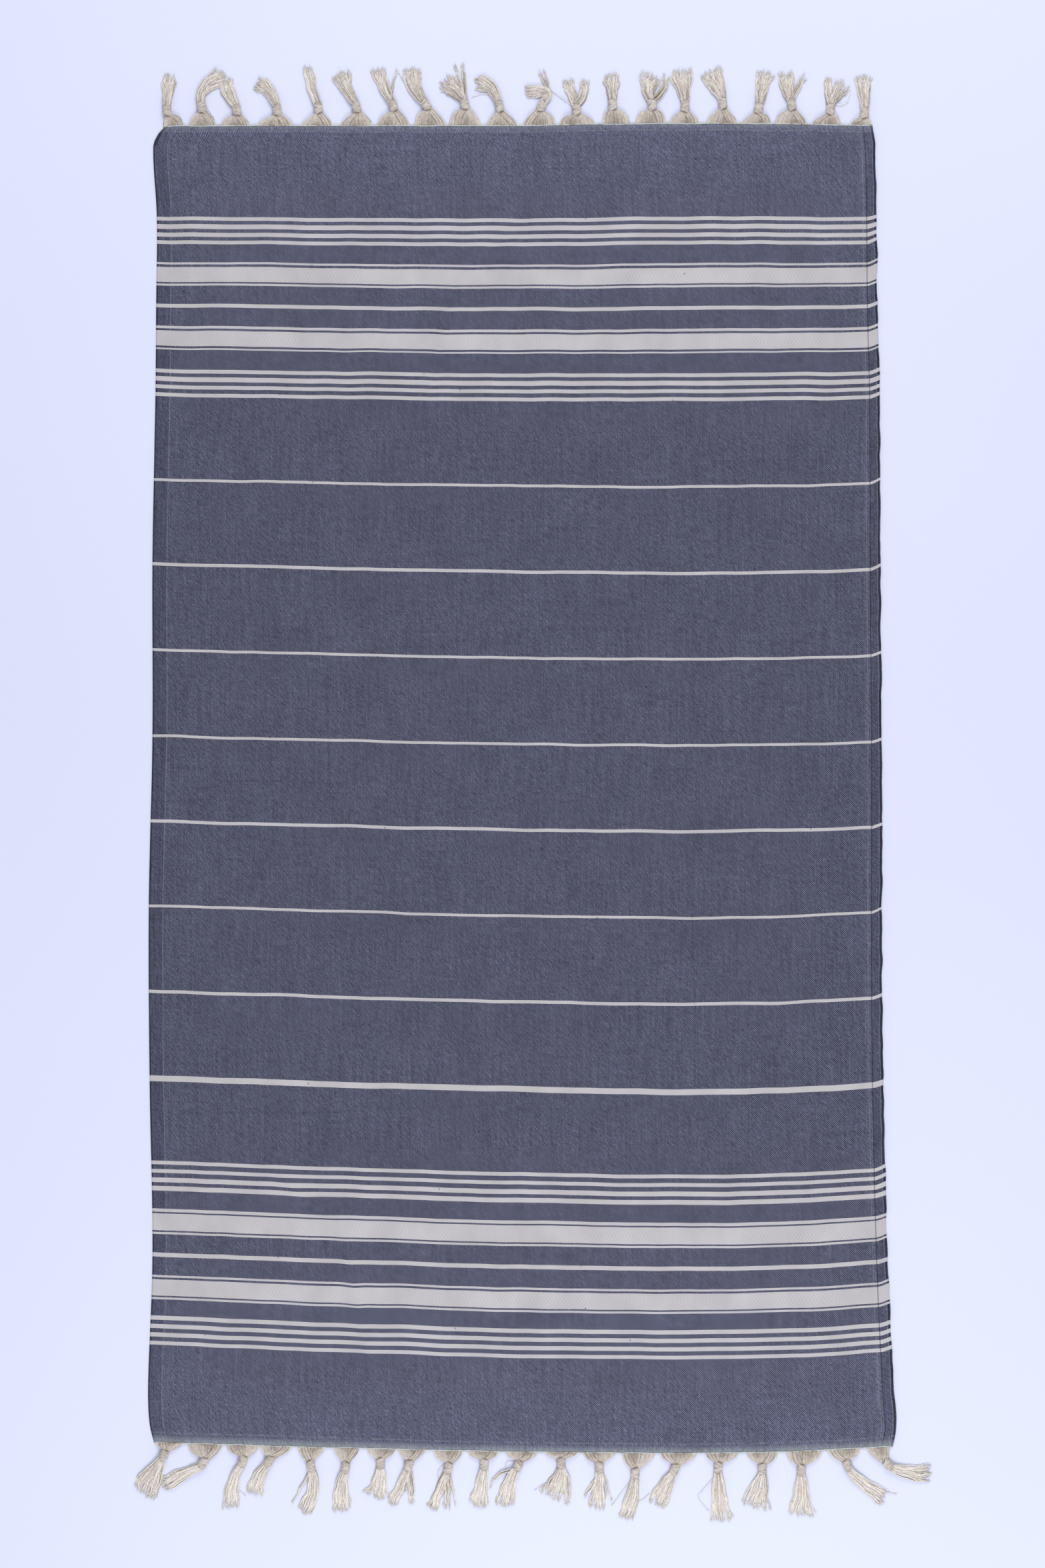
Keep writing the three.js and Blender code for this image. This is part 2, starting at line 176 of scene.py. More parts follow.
# How much of the pale warp shows in the plain weave: left selvedge, right strip, its turned edge, a
# heading from its outer to its inner side, and the step from yarn to yarn
SELVEDGE_SHARE = 0.12
STRIP_SHARE = 0.24
TURNED_EDGE_SHARE = 0.13
HEADING_SHARES = (0.32, 0.19)
CHECKER_SHARE = 0.16
# How pale the outer picks of the upper and the lower heading are
END_SHARES = (0.12, 0.38)
OUTER_PICKS = (3, 10)
LAST_PICK = 1.8
TICK_HALF_LENGTH = 0.9

# Pale lines down the selvedges, painted shade along the rims, at the right crease and on the turned corner,
# and the specks, with how much darker they are
RIGHT_LIGHT_LINES = (3.6, RIGHT_CREASE + 4.5)
RIGHT_CREASE_SHADE = 0.55
LEFT_RIM = 1.7
RIGHT_RIM = 2.8
RIM_SHADE = 0.66
CORNER_STRIP = 4.5
CORNER_SHADE = 0.6
SPECK_WIDTH = 1.6
SPECK_LENGTH = 2.4
SPECK_CHANCE = 0.00035
SPECK_SHADE = 0.6

# Stripes across the panel: distance of the middle from the upper end, and width
TOP_STRIPES = [
    (129.5, 5.9), (140.5, 5.9), (151.6, 5.9), (162.4, 5.9),
    (191.6, 3.1), (206.8, 21.4), (221.6, 2.9), (251.0, 5.7),
    (280.7, 3.2), (295.9, 21.0), (310.5, 2.9),
    (340.6, 5.5), (351.6, 5.5), (362.6, 5.5), (373.4, 5.5),
]
MIDDLE_STRIPES = [
    (489.7, 4.4), (606.2, 4.4), (723.1, 4.4), (840.4, 4.4),
    (958.1, 4.4), (1076.7, 4.4), (1194.6, 4.4), (1312.2, 4.4),
]
BOTTOM_STRIPES = [
    (1429.5, 6.2), (1441.1, 6.2), (1452.8, 6.2), (1464.5, 6.2),
    (1495.3, 3.5), (1511.4, 22.7), (1526.7, 3.5), (1556.0, 4.7),
    (1585.3, 3.2), (1601.1, 22.3), (1616.1, 3.3),
    (1643.3, 6.2), (1654.7, 6.2), (1666.1, 6.2), (1677.3, 6.2),
]
# Each group with the stretch of the panel that it lies in
STRIPE_GROUPS = ((TOP_STRIPES, 120, 390), (MIDDLE_STRIPES, 400, 1400), (BOTTOM_STRIPES, 1420, 1690))
WIDE_BAND = 15
WIDE_BANDS = [stripe for stripe in TOP_STRIPES + BOTTOM_STRIPES if stripe[1] > WIDE_BAND]
# Where on a wide band's width the twill turns back and makes its chevrons, and how far apart they are
CHEVRON_TURN = 0.55
CHEVRON_WARPS = 8
# How much lighter and darker the chevrons are painted on the cream: painted light and shade of their relief
CHEVRON_PAINTED_SHADE = 0.06

# Colours of the yarns, as linear light
NAVY_YARN = (0.0385, 0.041, 0.079)
PALE_WARP = (0.255, 0.26, 0.355)
PALE_HEADING = (0.36, 0.41, 0.42)
CREAM_WEFT = (0.515, 0.494, 0.524)
CREAM_FRINGE = (0.90, 0.85, 0.80)
# The deep fringe colour serves both the yarns' own deeper tone and the painted shade deep in the tassels
DEEP_FRINGE_AND_SHADE = (0.355, 0.298, 0.25)
EDGE_THREAD = (0.58, 0.64, 0.64)
FLOOR_COLOUR = (0.725, 0.755, 0.95)

EDGE_THREAD_POINTS = 330
EDGE_THREAD_INSET = 0.5
EDGE_THREAD_RADIUS = 0.75
EDGE_THREAD_WANDER = 0.9

# The floor lies this far under the towel, so that the two don't share a plane
FLOOR_GAP = 0.3
FLOOR_HALF = 30000

SKY_COLOUR = (0.97, 0.98, 1.0, 1)
SKY_STRENGTH = 0.6
# Lights: name, place and size in metres, and power
SOFTBOXES = (("softbox_near", (0.3, -2.2, 2.2), 1.4, 38), ("softbox_far", (0.3, 2.4, 2.2), 1.4, 36))

# A tassel. A web's core has a row a ring: place on the web, share of its width and height. A knot's core
# has place and size as shares of the knot, and its wraps place and slant.
CORE_GAP = 0.3
CORE_ROUNDNESS = 0.8
WEB_CORE = ((0, 0.95, 1.0), (0.35, 0.8, 1.5), (0.65, 0.52, 2.2), (0.9, 0.25, 3.6))
KNOT_LENGTH = 14
KNOT_WIDTH = 11.5
KNOT_HEIGHT = 8.6
KNOT_CORE = ((-0.5, 0.8), (-0.4, 0.93), (-0.12, 1), (0.14, 1), (0.38, 0.94), (0.5, 0.84))
KNOT_WRAPS = ((-0.24, 2.4), (0.24, -1.8))
# Places of the knot's groove rings as shares of its length; their deepest tone paints the shadow of the
# grooves
KNOT_GROOVE_SHADOWS = (-0.5, 0.5)
WRAP_YARNS = 6
WRAP_PITCH = 1.25
WRAP_RADIUS = 0.75
WRAP_TONE = (0.36, 0.74)
GROOVE_RADIUS = 0.55
WEB_YARNS = 32
# How deep the tone of the webs is, and that of the sprays at the upper and the lower end; the deeper tone
# of the upper sprays is painted shade
WEB_TONE = 0.55
SPRAY_TONE = {1: 0.77, -1: 0.46}
# How far the tone of a clump, and that of a yarn in it, strays to either side
CLUMP_SHADE = 0.22
YARN_SHADE = (-0.28, 0.34)
CROSSING_YARNS = 9
SPRAY_YARNS = 64
YARN_RADIUS = 0.57
CRIMP = 0.75
CRIMPS_IN_A_SPRAY = 2.4
YARNS_IN_A_CLUMP = 5
# A lock with more yarns than this has a core
CORE_YARNS = 20
YARN_TWIST = 1.4
FRAYS = 3
FRAY_TAPER = np.array([0.6, 0.45, 0.3, 0.1])

# The tassels, a row each: middle of the web on the panel's end, width of the web, how far its left and
# right sides bulge outward as shares of its length, then the knot, the bend and the tips, each as a shift
# across and a reach outward, and the width of the spray at its tips
TOP_TASSELS = [
    (-469, 28, (0, 0.9), (-8, 20), (-7, 44), (-5, 69), 19),
    (-429, 38, (0.5, 0.3), (-1, 24), (-8, 54), (32, 67), 20),
    (-384, 41, (0.55, 0.15), (2, 20), (-9, 40), (-15, 63), 23),
    (-329, 50, (0.35, 0.3), (2, 20), (-7, 50), (-26, 59), 20),
    (-273, 44, (0.15, 0.2), (2, 23), (-8, 48), (-13, 80), 15),
    (-219, 46, (0.2, 0.1), (0, 24), (-13, 46), (-22, 72), 24),
    (-169, 45, (0.5, 0.4), (0, 26), (-14, 48), (-21, 77), 20),
    (-118, 44, (0.85, 0.25), (-6, 27), (-24, 44), (-25, 78), 24),
    (-71, 44, (0.9, 0.35), (0, 28), (-9, 47), (-30, 62), 30),
    (-20, 44, (0.25, 0.1), (-4, 25), (-13, 58), (-36, 60), 23),
    (30, 46, (0.3, 0.75), (3, 25), (25, 52), (-18, 44), 17),
    (82, 48, (0.9, 0.6), (-1, 19), (-7, 39), (-13, 61), 16),
    (135, 39, (0.9, 0.75), (-5, 25), (-5, 44), (-7, 69), 21),
    (182, 42, (0.9, 0.8), (2, 24), (-8, 48), (2, 66), 26),
    (228, 42, (0.5, 0.4), (1, 22), (0, 44), (-5, 74), 29),
    (279, 44, (0.35, 0.05), (1, 26), (-6, 47), (-23, 68), 22),
    (326, 41, (0.15, 0.9), (3, 20), (8, 42), (12, 71), 24),
    (374, 45, (0.75, 0.2), (0, 25), (-6, 44), (-8, 71), 24),
    (421, 41, (0.25, 0.85), (6, 20), (2, 40), (3, 63), 10),
    (468, 31, (0.3, 0.8), (5, 16), (5, 42), (4, 67), 22),
]
BOTTOM_TASSELS = [
    (-474, 40, (0.22, 0.04), (-8, 16), (-22, 44), (-38, 68), 40),
    (-425, 48, (0.68, 0.38), (-3, 25), (-27, 38), (-58, 57), 21),
    (-374, 46, (0.68, 0.38), (0, 21), (-18, 47), (-16, 86), 21),
    (-328, 44, (0.68, 0.3), (-10, 20), (-25, 38), (-32, 65), 24),
    (-280, 39, (0.56, 0.08), (-1, 25), (9, 58), (-12, 89), 20),
    (-233, 38, (0.22, 0), (-1, 26), (-10, 54), (-6, 87), 26),
    (-185, 40, (0.6, 0.45), (-1, 19), (-1, 42), (-9, 67), 30),
    (-143, 39, (0.38, 0.15), (-5, 21), (-18, 54), (-29, 74), 16),
    (-94, 42, (0.6, 0.38), (0, 23), (-16, 59), (-21, 81), 14),
    (-46, 44, (0.68, 0.52), (1, 17), (-2, 42), (-8, 75), 22),
    (6, 45, (0.38, 0.45), (-5, 18), (-18, 38), (-24, 74), 26),
    (61, 48, (0.45, 0.3), (-1, 14), (0, 36), (-11, 64), 44),
    (113, 46, (0.68, 0.15), (-1, 19), (0, 44), (-5, 76), 24),
    (166, 46, (0.6, 0.3), (-5, 27), (-6, 56), (-20, 89), 21),
    (220, 52, (0.38, 0.38), (-5, 21), (-16, 40), (-31, 71), 28),
    (279, 46, (0.45, 0.52), (-5, 19), (-4, 56), (0, 94), 28),
    (334, 44, (0.38, 0.68), (0, 22), (-2, 46), (-11, 76), 40),
    (392, 50, (0.6, 0.52), (-5, 25), (-3, 56), (-6, 89), 34),
    (445, 46, (0.38, 0.68), (5, 21), (20, 46), (56, 66), 22),
    (492, 32, (0.38, 0.68), (14, 23), (38, 36), (72, 36), 25),
]

# Smaller locks that leave a knot beside its spray: yarns, bend, tips and width at the tips
SIDE_LOCKS = {
    "top_02": [(9, (-2, 54), (20, 77), 8)],
    "top_07": [(5, (-3, 58), (8, 79), 3)],
    "top_09": [(10, (-8, 58), (-13, 83), 5), (12, (-1, 58), (-3, 84), 7)],
    "top_11": [(14, (18, 55), (0, 72), 10)],
    "top_12": [(26, (15, 41), (8, 61), 13)],
    "top_14": [(16, (24, 43), (18, 66), 13)],
    "top_16": [(22, (3, 48), (-7, 77), 11)],
    "top_18": [(12, (7, 47), (19, 67), 11)],
    "top_19": [(22, (12, 43), (20, 61), 10), (14, (18, 40), (34, 51), 10)],
    "bottom_05": [(6, (-13, 48), (-27, 79), 4)],
    "bottom_08": [(16, (-8, 46), (-14, 61), 15), (20, (3, 51), (-3, 75), 8)],
    "bottom_09": [(20, (0, 57), (-2, 82), 9), (5, (9, 47), (9, 76), 3)],
    "bottom_11": [(7, (-37, 25), (-43, 48), 5)],
    "bottom_12": [(7, (15, 34), (9, 58), 6)],
    "bottom_13": [(10, (-7, 45), (-23, 58), 9), (5, (10, 30), (15, 66), 4)],
}

# Single loose yarns, each through a few places given as a shift across and a reach outward
LOOSE_YARNS = {
    "top_02": [((3, 34), (8, 22), (15, 10)), ((2, 30), (6, 20), (12, 12))],
    "top_08": [((-18, 50), (-36, 60), (-43, 70))],
    "top_10": [((-9, 38), (-24, 43), (-39, 39))],
    "top_12": [((-6, 26), (-18, 33), (-32, 43)), ((-5, 24), (-20, 35), (-35, 45))],
    "top_19": [((10, 28), (21, 26), (30, 31), (32, 38))],
    "bottom_03": [((-4, 48), (-10, 56), (1, 66))],
    "bottom_09": [((-5, 19), (-13, 27), (-14, 37), (-5, 33))],
    "bottom_11": [((-9, 14), (-20, 14), (-21, 22), (-11, 25))],
    "bottom_12": [((-14, 42), (-26, 44), (-35, 50))],
    "bottom_14": [((-10, 36), (-24, 54), (-35, 69)), ((-4, 66), (4, 64), (13, 56))],
    "bottom_16": [((-9, 32), (-29, 54), (-32, 61), (-20, 76))],
    "bottom_19": [((20, 38), (48, 56), (70, 60))],
}


def section_value(name, along):
    """One column of SECTIONS at a distance along the panel, as a smooth curve through the rows."""
    column = SECTION_NAMES.index(name)
    last = len(SECTIONS) - 1
    i = 0
    while i < last - 1 and along > SECTIONS[i + 1][0]:
        i += 1

    def slope_at(k):
        before = SECTIONS[max(k - 1, 0)]
        after = SECTIONS[min(k + 1, last)]
        return (after[column] - before[column]) / (after[0] - before[0])

    start = SECTIONS[i]
    stop = SECTIONS[i + 1]
    span = stop[0] - start[0]
    t = (along - start[0]) / span
    eased = t * t * (3 - 2 * t)
    leaving = t * (1 - t) ** 2 * span * slope_at(i)
    arriving = t * t * (t - 1) * span * slope_at(i + 1)
    return start[column] * (1 - eased) + stop[column] * eased + leaving + arriving


def lay_row(shares, along):
    """Where the weave points at those shares of the width, so far along, lie on the floor."""
    left = section_value("left", along)
    right = section_value("right", along)
    x = left + (right - left) * shares
    to_left = np.clip((MIDDLE_WARP - shares) / MIDDLE_WARP, 0, 1)
    to_right = np.clip((shares - MIDDLE_WARP) / (1 - MIDDLE_WARP), 0, 1)
    dip = -section_value("rise_left", along) * to_left**LEFT_RISE_POWER
    dip += section_value("hump", along) * np.sin(math.pi * to_right)
    dip -= section_value("rise_right", along) * to_right**RIGHT_RISE_POWER
    near_corner = np.exp(-(x - left) / TURNED_CORNER["reach"] - along / TURNED_CORNER["depth"])
    dip += TURNED_CORNER["drop"] * near_corner
    return x, CLOTH_LENGTH / 2 - along - dip


def waves(x, y, table):
    """Smooth unevenness, the sum of the table's waves, that is the same at each run."""
    total = 0
    for wide, long, seed, height in table:
        total += height * noise.noise(Vector((x / wide, y / long, seed * 7.31)))
    return total


def along_line(x, y, start, stop):
    """For each point the place on a line, from 0 to 1, and the distance from it."""
    line = np.array(stop, float) - start
    t = np.clip(((x - start[0]) * line[0] + (y - start[1]) * line[1]) / line.dot(line), 0, 1)
    aside = np.hypot(x - start[0] - t * line[0], y - start[1] - t * line[1])
    return t, aside


def relief(x, y):
    """Height of the creases and fold lines over each point, and how far they pull the weft."""
    lift = np.zeros_like(x)
    pull = np.zeros_like(x)
    for start, stop, height, half_width in CREASES:
        t, aside = along_line(x, y, start, stop)
        taper = CREASE_END + (1 - CREASE_END) * np.sin(math.pi * t)
        soft = height * taper * np.exp(-((aside / half_width) ** 2))
        sharp = taper * np.exp(-((aside / CREST_HALF_WIDTH) ** 2))
        lift = np.maximum(lift, soft + CREST_HEIGHT * sharp)
        pull = np.maximum(pull, CREST_PULL * sharp)
    for start, stop, height, half_width in FOLD_LINES:
        t, aside = along_line(x, y, start, stop)
        uneven = 0.7 + 0.3 * np.sin(9 * t + height * 20)
        lift = lift + height * uneven * np.sin(math.pi * t) ** 0.5 * np.exp(-((aside / half_width) ** 2))
    return lift, pull


def graded(stops, cells):
    """Places from 0 over all the stops, with a number of equal cells before each of them."""
    places = [0]
    for stop, count in zip(stops, cells):
        start = places[-1]
        places += [start + (stop - start) * i / count for i in range(1, count + 1)]
    return np.array(places)


def new_object(name, points, faces, material, attributes):
    """A mesh object from points in millimetres, with one value or vector for each point."""
    mesh = bpy.data.meshes.new(name)
    mesh.from_pydata((np.asarray(points) * MM).tolist(), [], faces)
    for label, (kind, values) in attributes.items():
        layer = mesh.attributes.new(label, kind, "POINT")
        field = "vector" if kind == "FLOAT_VECTOR" else "value"
        layer.data.foreach_set(field, np.asarray(values, np.float32).ravel())
    mesh.polygons.foreach_set("use_smooth", [True] * len(mesh.polygons))
    mesh.materials.append(material)
    mesh.update()
    made = bpy.data.objects.new(name, mesh)
    bpy.context.scene.collection.objects.link(made)
    return made


def cloth_rows():
    """The panel's weave points, row by row: place on the floor, height and weave coordinates."""
    columns = (LEFT_SELVEDGE, CLOTH_WIDTH - RIGHT_PALE_STRIP, CLOTH_WIDTH)
    shares = graded(columns, COLUMN_CELLS) / CLOTH_WIDTH
    from_right = (1 - shares) * CLOTH_WIDTH
    turned = np.clip(1 - from_right / RIGHT_CREASE, 0, 1)
    rows = []
    for along in graded((END_STRIP, CLOTH_LENGTH - END_STRIP, CLOTH_LENGTH), ROW_CELLS):
        x, y = lay_row(shares, along)
        lift, pull = relief(x, y)
        swell = np.array([waves(a, b, SWELL_WAVES) for a, b in zip(x, y)])
        drift = np.array([waves(a, b, DRIFT_WAVES) for a, b in zip(x, y)])
        curl = SELVEDGE_CURL + waves(0, along, CURL_WAVES)
        calm = np.clip(min(along, CLOTH_LENGTH - along) / CALM_END, 0, 1)
        bend = (SELVEDGE_BEND + waves(0, along, BEND_WAVES)) * calm
        lift = lift + REST_LIFT + swell + curl * turned**1.4
        x = x + waves(0, along, RIPPLE_WAVES) * turned
        y = y - pull + drift * calm + bend * turned**1.3
        down = min(along / CLOTH_LENGTH, 1)
        crowded = shares + WARP_CROWDING * down * down * shares * (1 - shares)
        rows.append((x, y, np.maximum(lift, 0), crowded * CLOTH_WIDTH, np.full_like(x, along)))
    return rows


def cloth_mesh(material):
    """The panel as a thin closed shell with a flat underside and a rounded rim."""
    x, y, lift, across, along = (np.array(part) for part in zip(*cloth_rows()))
    row_count, width = x.shape
    upper = np.stack([x, y, CLOTH_WALL - REST_LIFT + lift], 2).reshape(-1, 3)
    lower = np.stack([x, y, np.maximum(0, lift - REST_LIFT - PRESSED_IN)], 2).reshape(-1, 3)
    weave = np.stack([across * MM, along * MM, np.zeros_like(x)], 2).reshape(-1, 3)
    number = np.arange(row_count * width).reshape(row_count, width)
    rim = [*number[0, :-1], *number[:-1, -1], *number[-1, :0:-1], *number[:0:-1, 0]]
    # The rim's own points stand out a little between the two faces and round the edge
    middle = upper[:, :2].mean(0)
    side = upper[rim].copy()
    side[:, :2] += np.sign(side[:, :2] - middle) * RIM_REACH
    side[:, 2] = (upper[rim, 2] + lower[rim, 2]) / 2
    under = len(upper)
    edge = 2 * under
    a, b, d, e = number[:-1, :-1], number[:-1, 1:], number[1:, :-1], number[1:, 1:]
    tops = np.stack([a, d, e, b], 2).reshape(-1, 4)
    faces = tops.tolist() + (tops[:, ::-1] + under).tolist()
    count = len(rim)
    for i in range(count):
        j = (i + 1) % count
        faces.append([int(rim[i]), int(rim[j]), edge + j, edge + i])
        faces.append([edge + i, edge + j, under + int(rim[j]), under + int(rim[i])])
    points = np.vstack([upper, lower, side])
    weaves = np.vstack([weave, weave, weave[rim]])
    return new_object("cloth_shell", points, faces, material, {"weave": ("FLOAT_VECTOR", weaves)})


def wall_faces(rows, sides, reverse):
    """The faces of a wall through rings of points, and of the cap at both ends."""
    number = np.arange(rows * sides).reshape(rows, sides)
    following = np.roll(number, -1, 1)
    corners = [number[:-1], number[1:], following[1:], following[:-1]]
    caps = [number[0], number[-1][::-1]]
    if reverse:
        corners = [corners[0], *corners[:0:-1]]
        caps = [cap[::-1] for cap in caps]
    return np.stack(corners, 2).reshape(-1, 4).tolist() + [cap.tolist() for cap in caps]


class Yarns:
    """Collects the yarns and cores of one piece, in millimetres, with a tone for each point, which holds
    both the yarns' own uneven tone and painted shade.
    """

    def __init__(self):
        self.points = []
        self.faces = []
        self.tones = []
        self.twists = []
        self.count = 0

    def add(self, points, faces, tone, twists):
        self.faces += [[corner + self.count for corner in face] for face in faces]
        self.points.append(points)
        self.tones.append(np.broadcast_to(tone, len(points)))
        self.twists.append(twists)
        self.count += len(points)

    def tube(self, path, radii, tone, sides=5, reference=UP):
        """A closed round yarn along a path."""
        path = np.asarray(path, float)
        ways = np.gradient(path, axis=0)
        ways /= np.linalg.norm(ways, axis=1)[:, None] + 1e-9
        side = np.cross(ways, reference)
        side /= np.linalg.norm(side, axis=1)[:, None] + 1e-9
        other = np.cross(side, ways)
        rows = len(path)
        turns = np.arange(sides) / sides
        angles = (2 * math.pi * turns - math.pi / 2)[None, :, None]
        rings = side[:, None] * np.cos(angles) + other[:, None] * np.sin(angles)
        points = path[:, None] + rings * np.broadcast_to(radii, rows)[:, None, None]
        travelled = np.concatenate([[0], np.cumsum(np.linalg.norm(np.diff(path, axis=0), axis=1))])
        lengths = np.repeat(travelled * MM, sides)
        twists = np.stack([lengths, np.tile(turns, rows), np.zeros_like(lengths)], 1)
        tones = np.repeat(np.broadcast_to(tone, rows), sides)
        self.add(points.reshape(-1, 3), wall_faces(rows, sides, False), tones, twists)

    def core(self, rings, tone):
        """A closed solid through rings that all have the same number of points."""
        points = np.array(rings)
        rows, sides = points.shape[:2]
        self.add(points.reshape(-1, 3), wall_faces(rows, sides, True), tone, np.zeros((rows * sides, 3)))

    def finish(self, name, material):
        attributes = {
            "tone": ("FLOAT", np.concatenate(self.tones)),
            "twist": ("FLOAT_VECTOR", np.vstack(self.twists)),
        }
        return new_object(name, np.vstack(self.points), self.faces, material, attributes)


def unit(vector):
    return vector / (np.linalg.norm(vector) + 1e-9)


def turned_left(vector):
    return np.array([-vector[1], vector[0]])


def bezier(start, bend, stop, places):
    """Points of a curve of the second degree, for any number of coordinates."""
    t = np.asarray(places)[:, None]
    return start * (1 - t) ** 2 + bend * 2 * t * (1 - t) + stop * t**2


def through(points, steps):
    """A smooth path through a few points."""
    points = np.asarray(points, float)
    padded = np.vstack([2 * points[0] - points[1], points, 2 * points[-1] - points[-2]])
    path = []
    for i in range(len(points) - 1):
        a, b, c, d = padded[i : i + 4]
        for k in range(steps):
            t = k / steps
            curve = 2 * b + (c - a) * t + (2 * a - 5 * b + 4 * c - d) * t**2
            curve += (3 * b - a - 3 * c + d) * t**3
            path.append(curve / 2)
    path.append(points[-1])
    return np.array(path)


def with_height(plan, heights):
    return np.column_stack([plan, heights])


class PanelEnd:
    """One end of the panel: its line on the floor, and which way is outward."""

    def __init__(self, outward):
        self.outward = outward
        shares = np.linspace(0, 1, 400)
        self.x, self.y = lay_row(shares, 0 if outward > 0 else CLOTH_LENGTH)

    def at(self, x):
        return np.array([x, np.interp(x, self.x, self.y)])

    def place(self, at, offset):
        spot = self.at(at)
        return np.array([spot[0] + offset[0], spot[1] + self.outward * offset[1]])


def oval_ring(centre, across, half_width, height, sides=12):
    """A ring across the yarns, a little squarer than an oval, that lies just above the floor."""
    ring = []
    for k in range(sides):
        angle = 2 * math.pi * k / sides
        side = math.copysign(abs(math.cos(angle)) ** CORE_ROUNDNESS, math.cos(angle)) * half_width
        up = 0.5 + 0.5 * math.copysign(abs(math.sin(angle)) ** CORE_ROUNDNESS, math.sin(angle))
        spot = centre + across * side
        ring.append((spot[0], spot[1], CORE_GAP + up * (height - CORE_GAP)))
    return ring


def add_web(yarns, end, row, knot_start, across_knot, random):
    """The fan of warp yarns between the panel's end and the knot, over a thin core."""
    at, web, (left_bulge, right_bulge) = row[:3]
    outward = np.array([0.0, end.outward])
    one, other = end.at(at - web / 2), end.at(at + web / 2)
    base = (one + other) / 2 - outward * 0.6
    edge_across = unit(other - one)
    reach = np.linalg.norm(knot_start - base)
    shadow_place = random.uniform(-0.4, 0.3)
    rings = []
    for t, width, height in WEB_CORE:
        centre = base + (knot_start - base) * t
        across = unit(edge_across * (1 - t * t) + across_knot * t * t)
        rings.append(oval_ring(centre, across, web / 2 * width, height))
    # The core stands for the yarns under the web, and its deep tone is painted shade between the web's
    # yarns
    yarns.core(rings, 0.9)
    places = np.linspace(0, 1, 9)
    radius = 0.74 * web / WEB_YARNS

    def add_yarn(side, entry, extra, tone):
        root = end.at(at + side * web / 2) - outward * 0.8
        bulge = left_bulge + (right_bulge - left_bulge) * (side + 1) / 2
        bend = root + outward * reach * bulge - across_knot * side * 1.5
        stop = knot_start + across_knot * entry
        plan = bezier(root, bend, stop, places)
        dome = 1.5 + 1.4 * (1 - side * side)
        sag = random.uniform(-0.15, 0.15)
        radii = radius * (1 - 0.35 * places) + 0.05 * sag
        heights = 0.9 + places * 2.9 + (dome * 0.55 + sag) * np.sin(math.pi * places)
        heights += extra * np.sin(math.pi * places) ** 2
        shadow = 0.5 * math.exp(-(((side - shadow_place) / 0.45) ** 2)) - 0.2 * abs(side) ** 3
        tones = np.clip(tone + shadow * (1 - places) ** 1.5, 0, 1)
        yarns.tube(with_height(plan, np.maximum(heights, radii)), radii, tones)

    for k in range(WEB_YARNS):
        side = -1 + 2 * (k + 0.5) / WEB_YARNS + random.uniform(-0.015, 0.015)
        # Every fourth yarn lies a little lower in a deeper tone, painted shade between the web's yarns
        deep = 0.12 if k % 4 == 2 else 0.0
        add_yarn(side, side * 4.2, -deep, WEB_TONE + deep + random.uniform(-0.1, 0.14))
    # A bundle from one side crosses over the others before the knot; its first yarn lies lower, and it and
    # every fourth yarn after it get the deepest tone, painted shade along the bundle
    lean = random.choice([-1, 1])
    first = random.uniform(0.25, 0.5)
    for k in range(CROSSING_YARNS):
        side = lean * (first + 0.45 * k / CROSSING_YARNS)
        tone = 1.0 if k % 4 == 0 else random.uniform(0.45, 0.75)
        add_yarn(side, -lean * (3.9 - 0.9 * k), 1.3 if k == 0 else 1.9, tone)


def add_knot(yarns, knot, heading, across, random):
    """An overhand knot: a barrel with two slanting wraps of yarns over it, and a ring of the deepest tone
    at both ends that paints the shadow of a groove.
    """
    rings = []
    for place, size in KNOT_CORE:
        centre = knot + heading * KNOT_LENGTH * place
        rings.append(oval_ring(centre, across, KNOT_WIDTH / 2 * size * 0.93, KNOT_HEIGHT * size * 0.94))
    # The barrel's deeper tone is painted shade where it shows between the wraps
    yarns.core(rings, 0.7)
    lean = random.choice([-1, 1])
    middle_height = KNOT_HEIGHT / 2
    angles = np.linspace(math.radians(-38), math.radians(218), 14)

    def add_wrap(place, slant, radius, tone):
        shift = place + slant * np.cos(angles)
        shape = 1 - 0.3 * (np.abs(shift) / KNOT_LENGTH * 1.7) ** 2
        side = np.cos(angles) * KNOT_WIDTH / 2 * shape
        plan = knot + np.outer(shift, heading) + np.outer(side, across)
        heights = middle_height * shape * (1 + np.sin(angles)) + 0.2
        path = with_height(plan, np.maximum(heights, radius))
        yarns.tube(path, radius, tone, reference=np.append(heading, 0.0))

    for place, slant in KNOT_WRAPS:
        for k in range(WRAP_YARNS):
            spot = KNOT_LENGTH * place + (k - (WRAP_YARNS - 1) / 2) * WRAP_PITCH
            add_wrap(spot, lean * slant, WRAP_RADIUS, random.uniform(*WRAP_TONE))
    # A ring of the deepest tone at each end paints the shadow of the knot's groove
    for place in KNOT_GROOVE_SHADOWS:
        add_wrap(KNOT_LENGTH * place, lean * random.uniform(-0.8, 0.8), GROOVE_RADIUS, 1.0)


def add_frays(yarns, tip, way, radius, tone, random):
    """The loose fibres at a yarn's cut end."""
    for _ in range(FRAYS):
        turn = random.uniform(-0.5, 0.5)
        lean = np.array([way[0] - turn * way[1], way[1] + turn * way[0]])
        length = random.uniform(1.5, 5.5)
        curve = random.uniform(-1.2, 1.2)
        places = np.linspace(0, 1, len(FRAY_TAPER))
        plan = tip[:2] + np.outer(places * length, lean) + np.outer(places**2 * curve, turned_left(lean))
        radii = radius * FRAY_TAPER
        heights = np.maximum(radii, tip[2] + places * random.uniform(-0.8, 0.5))
        yarns.tube(with_height(plan, heights), radii, tone, sides=3)


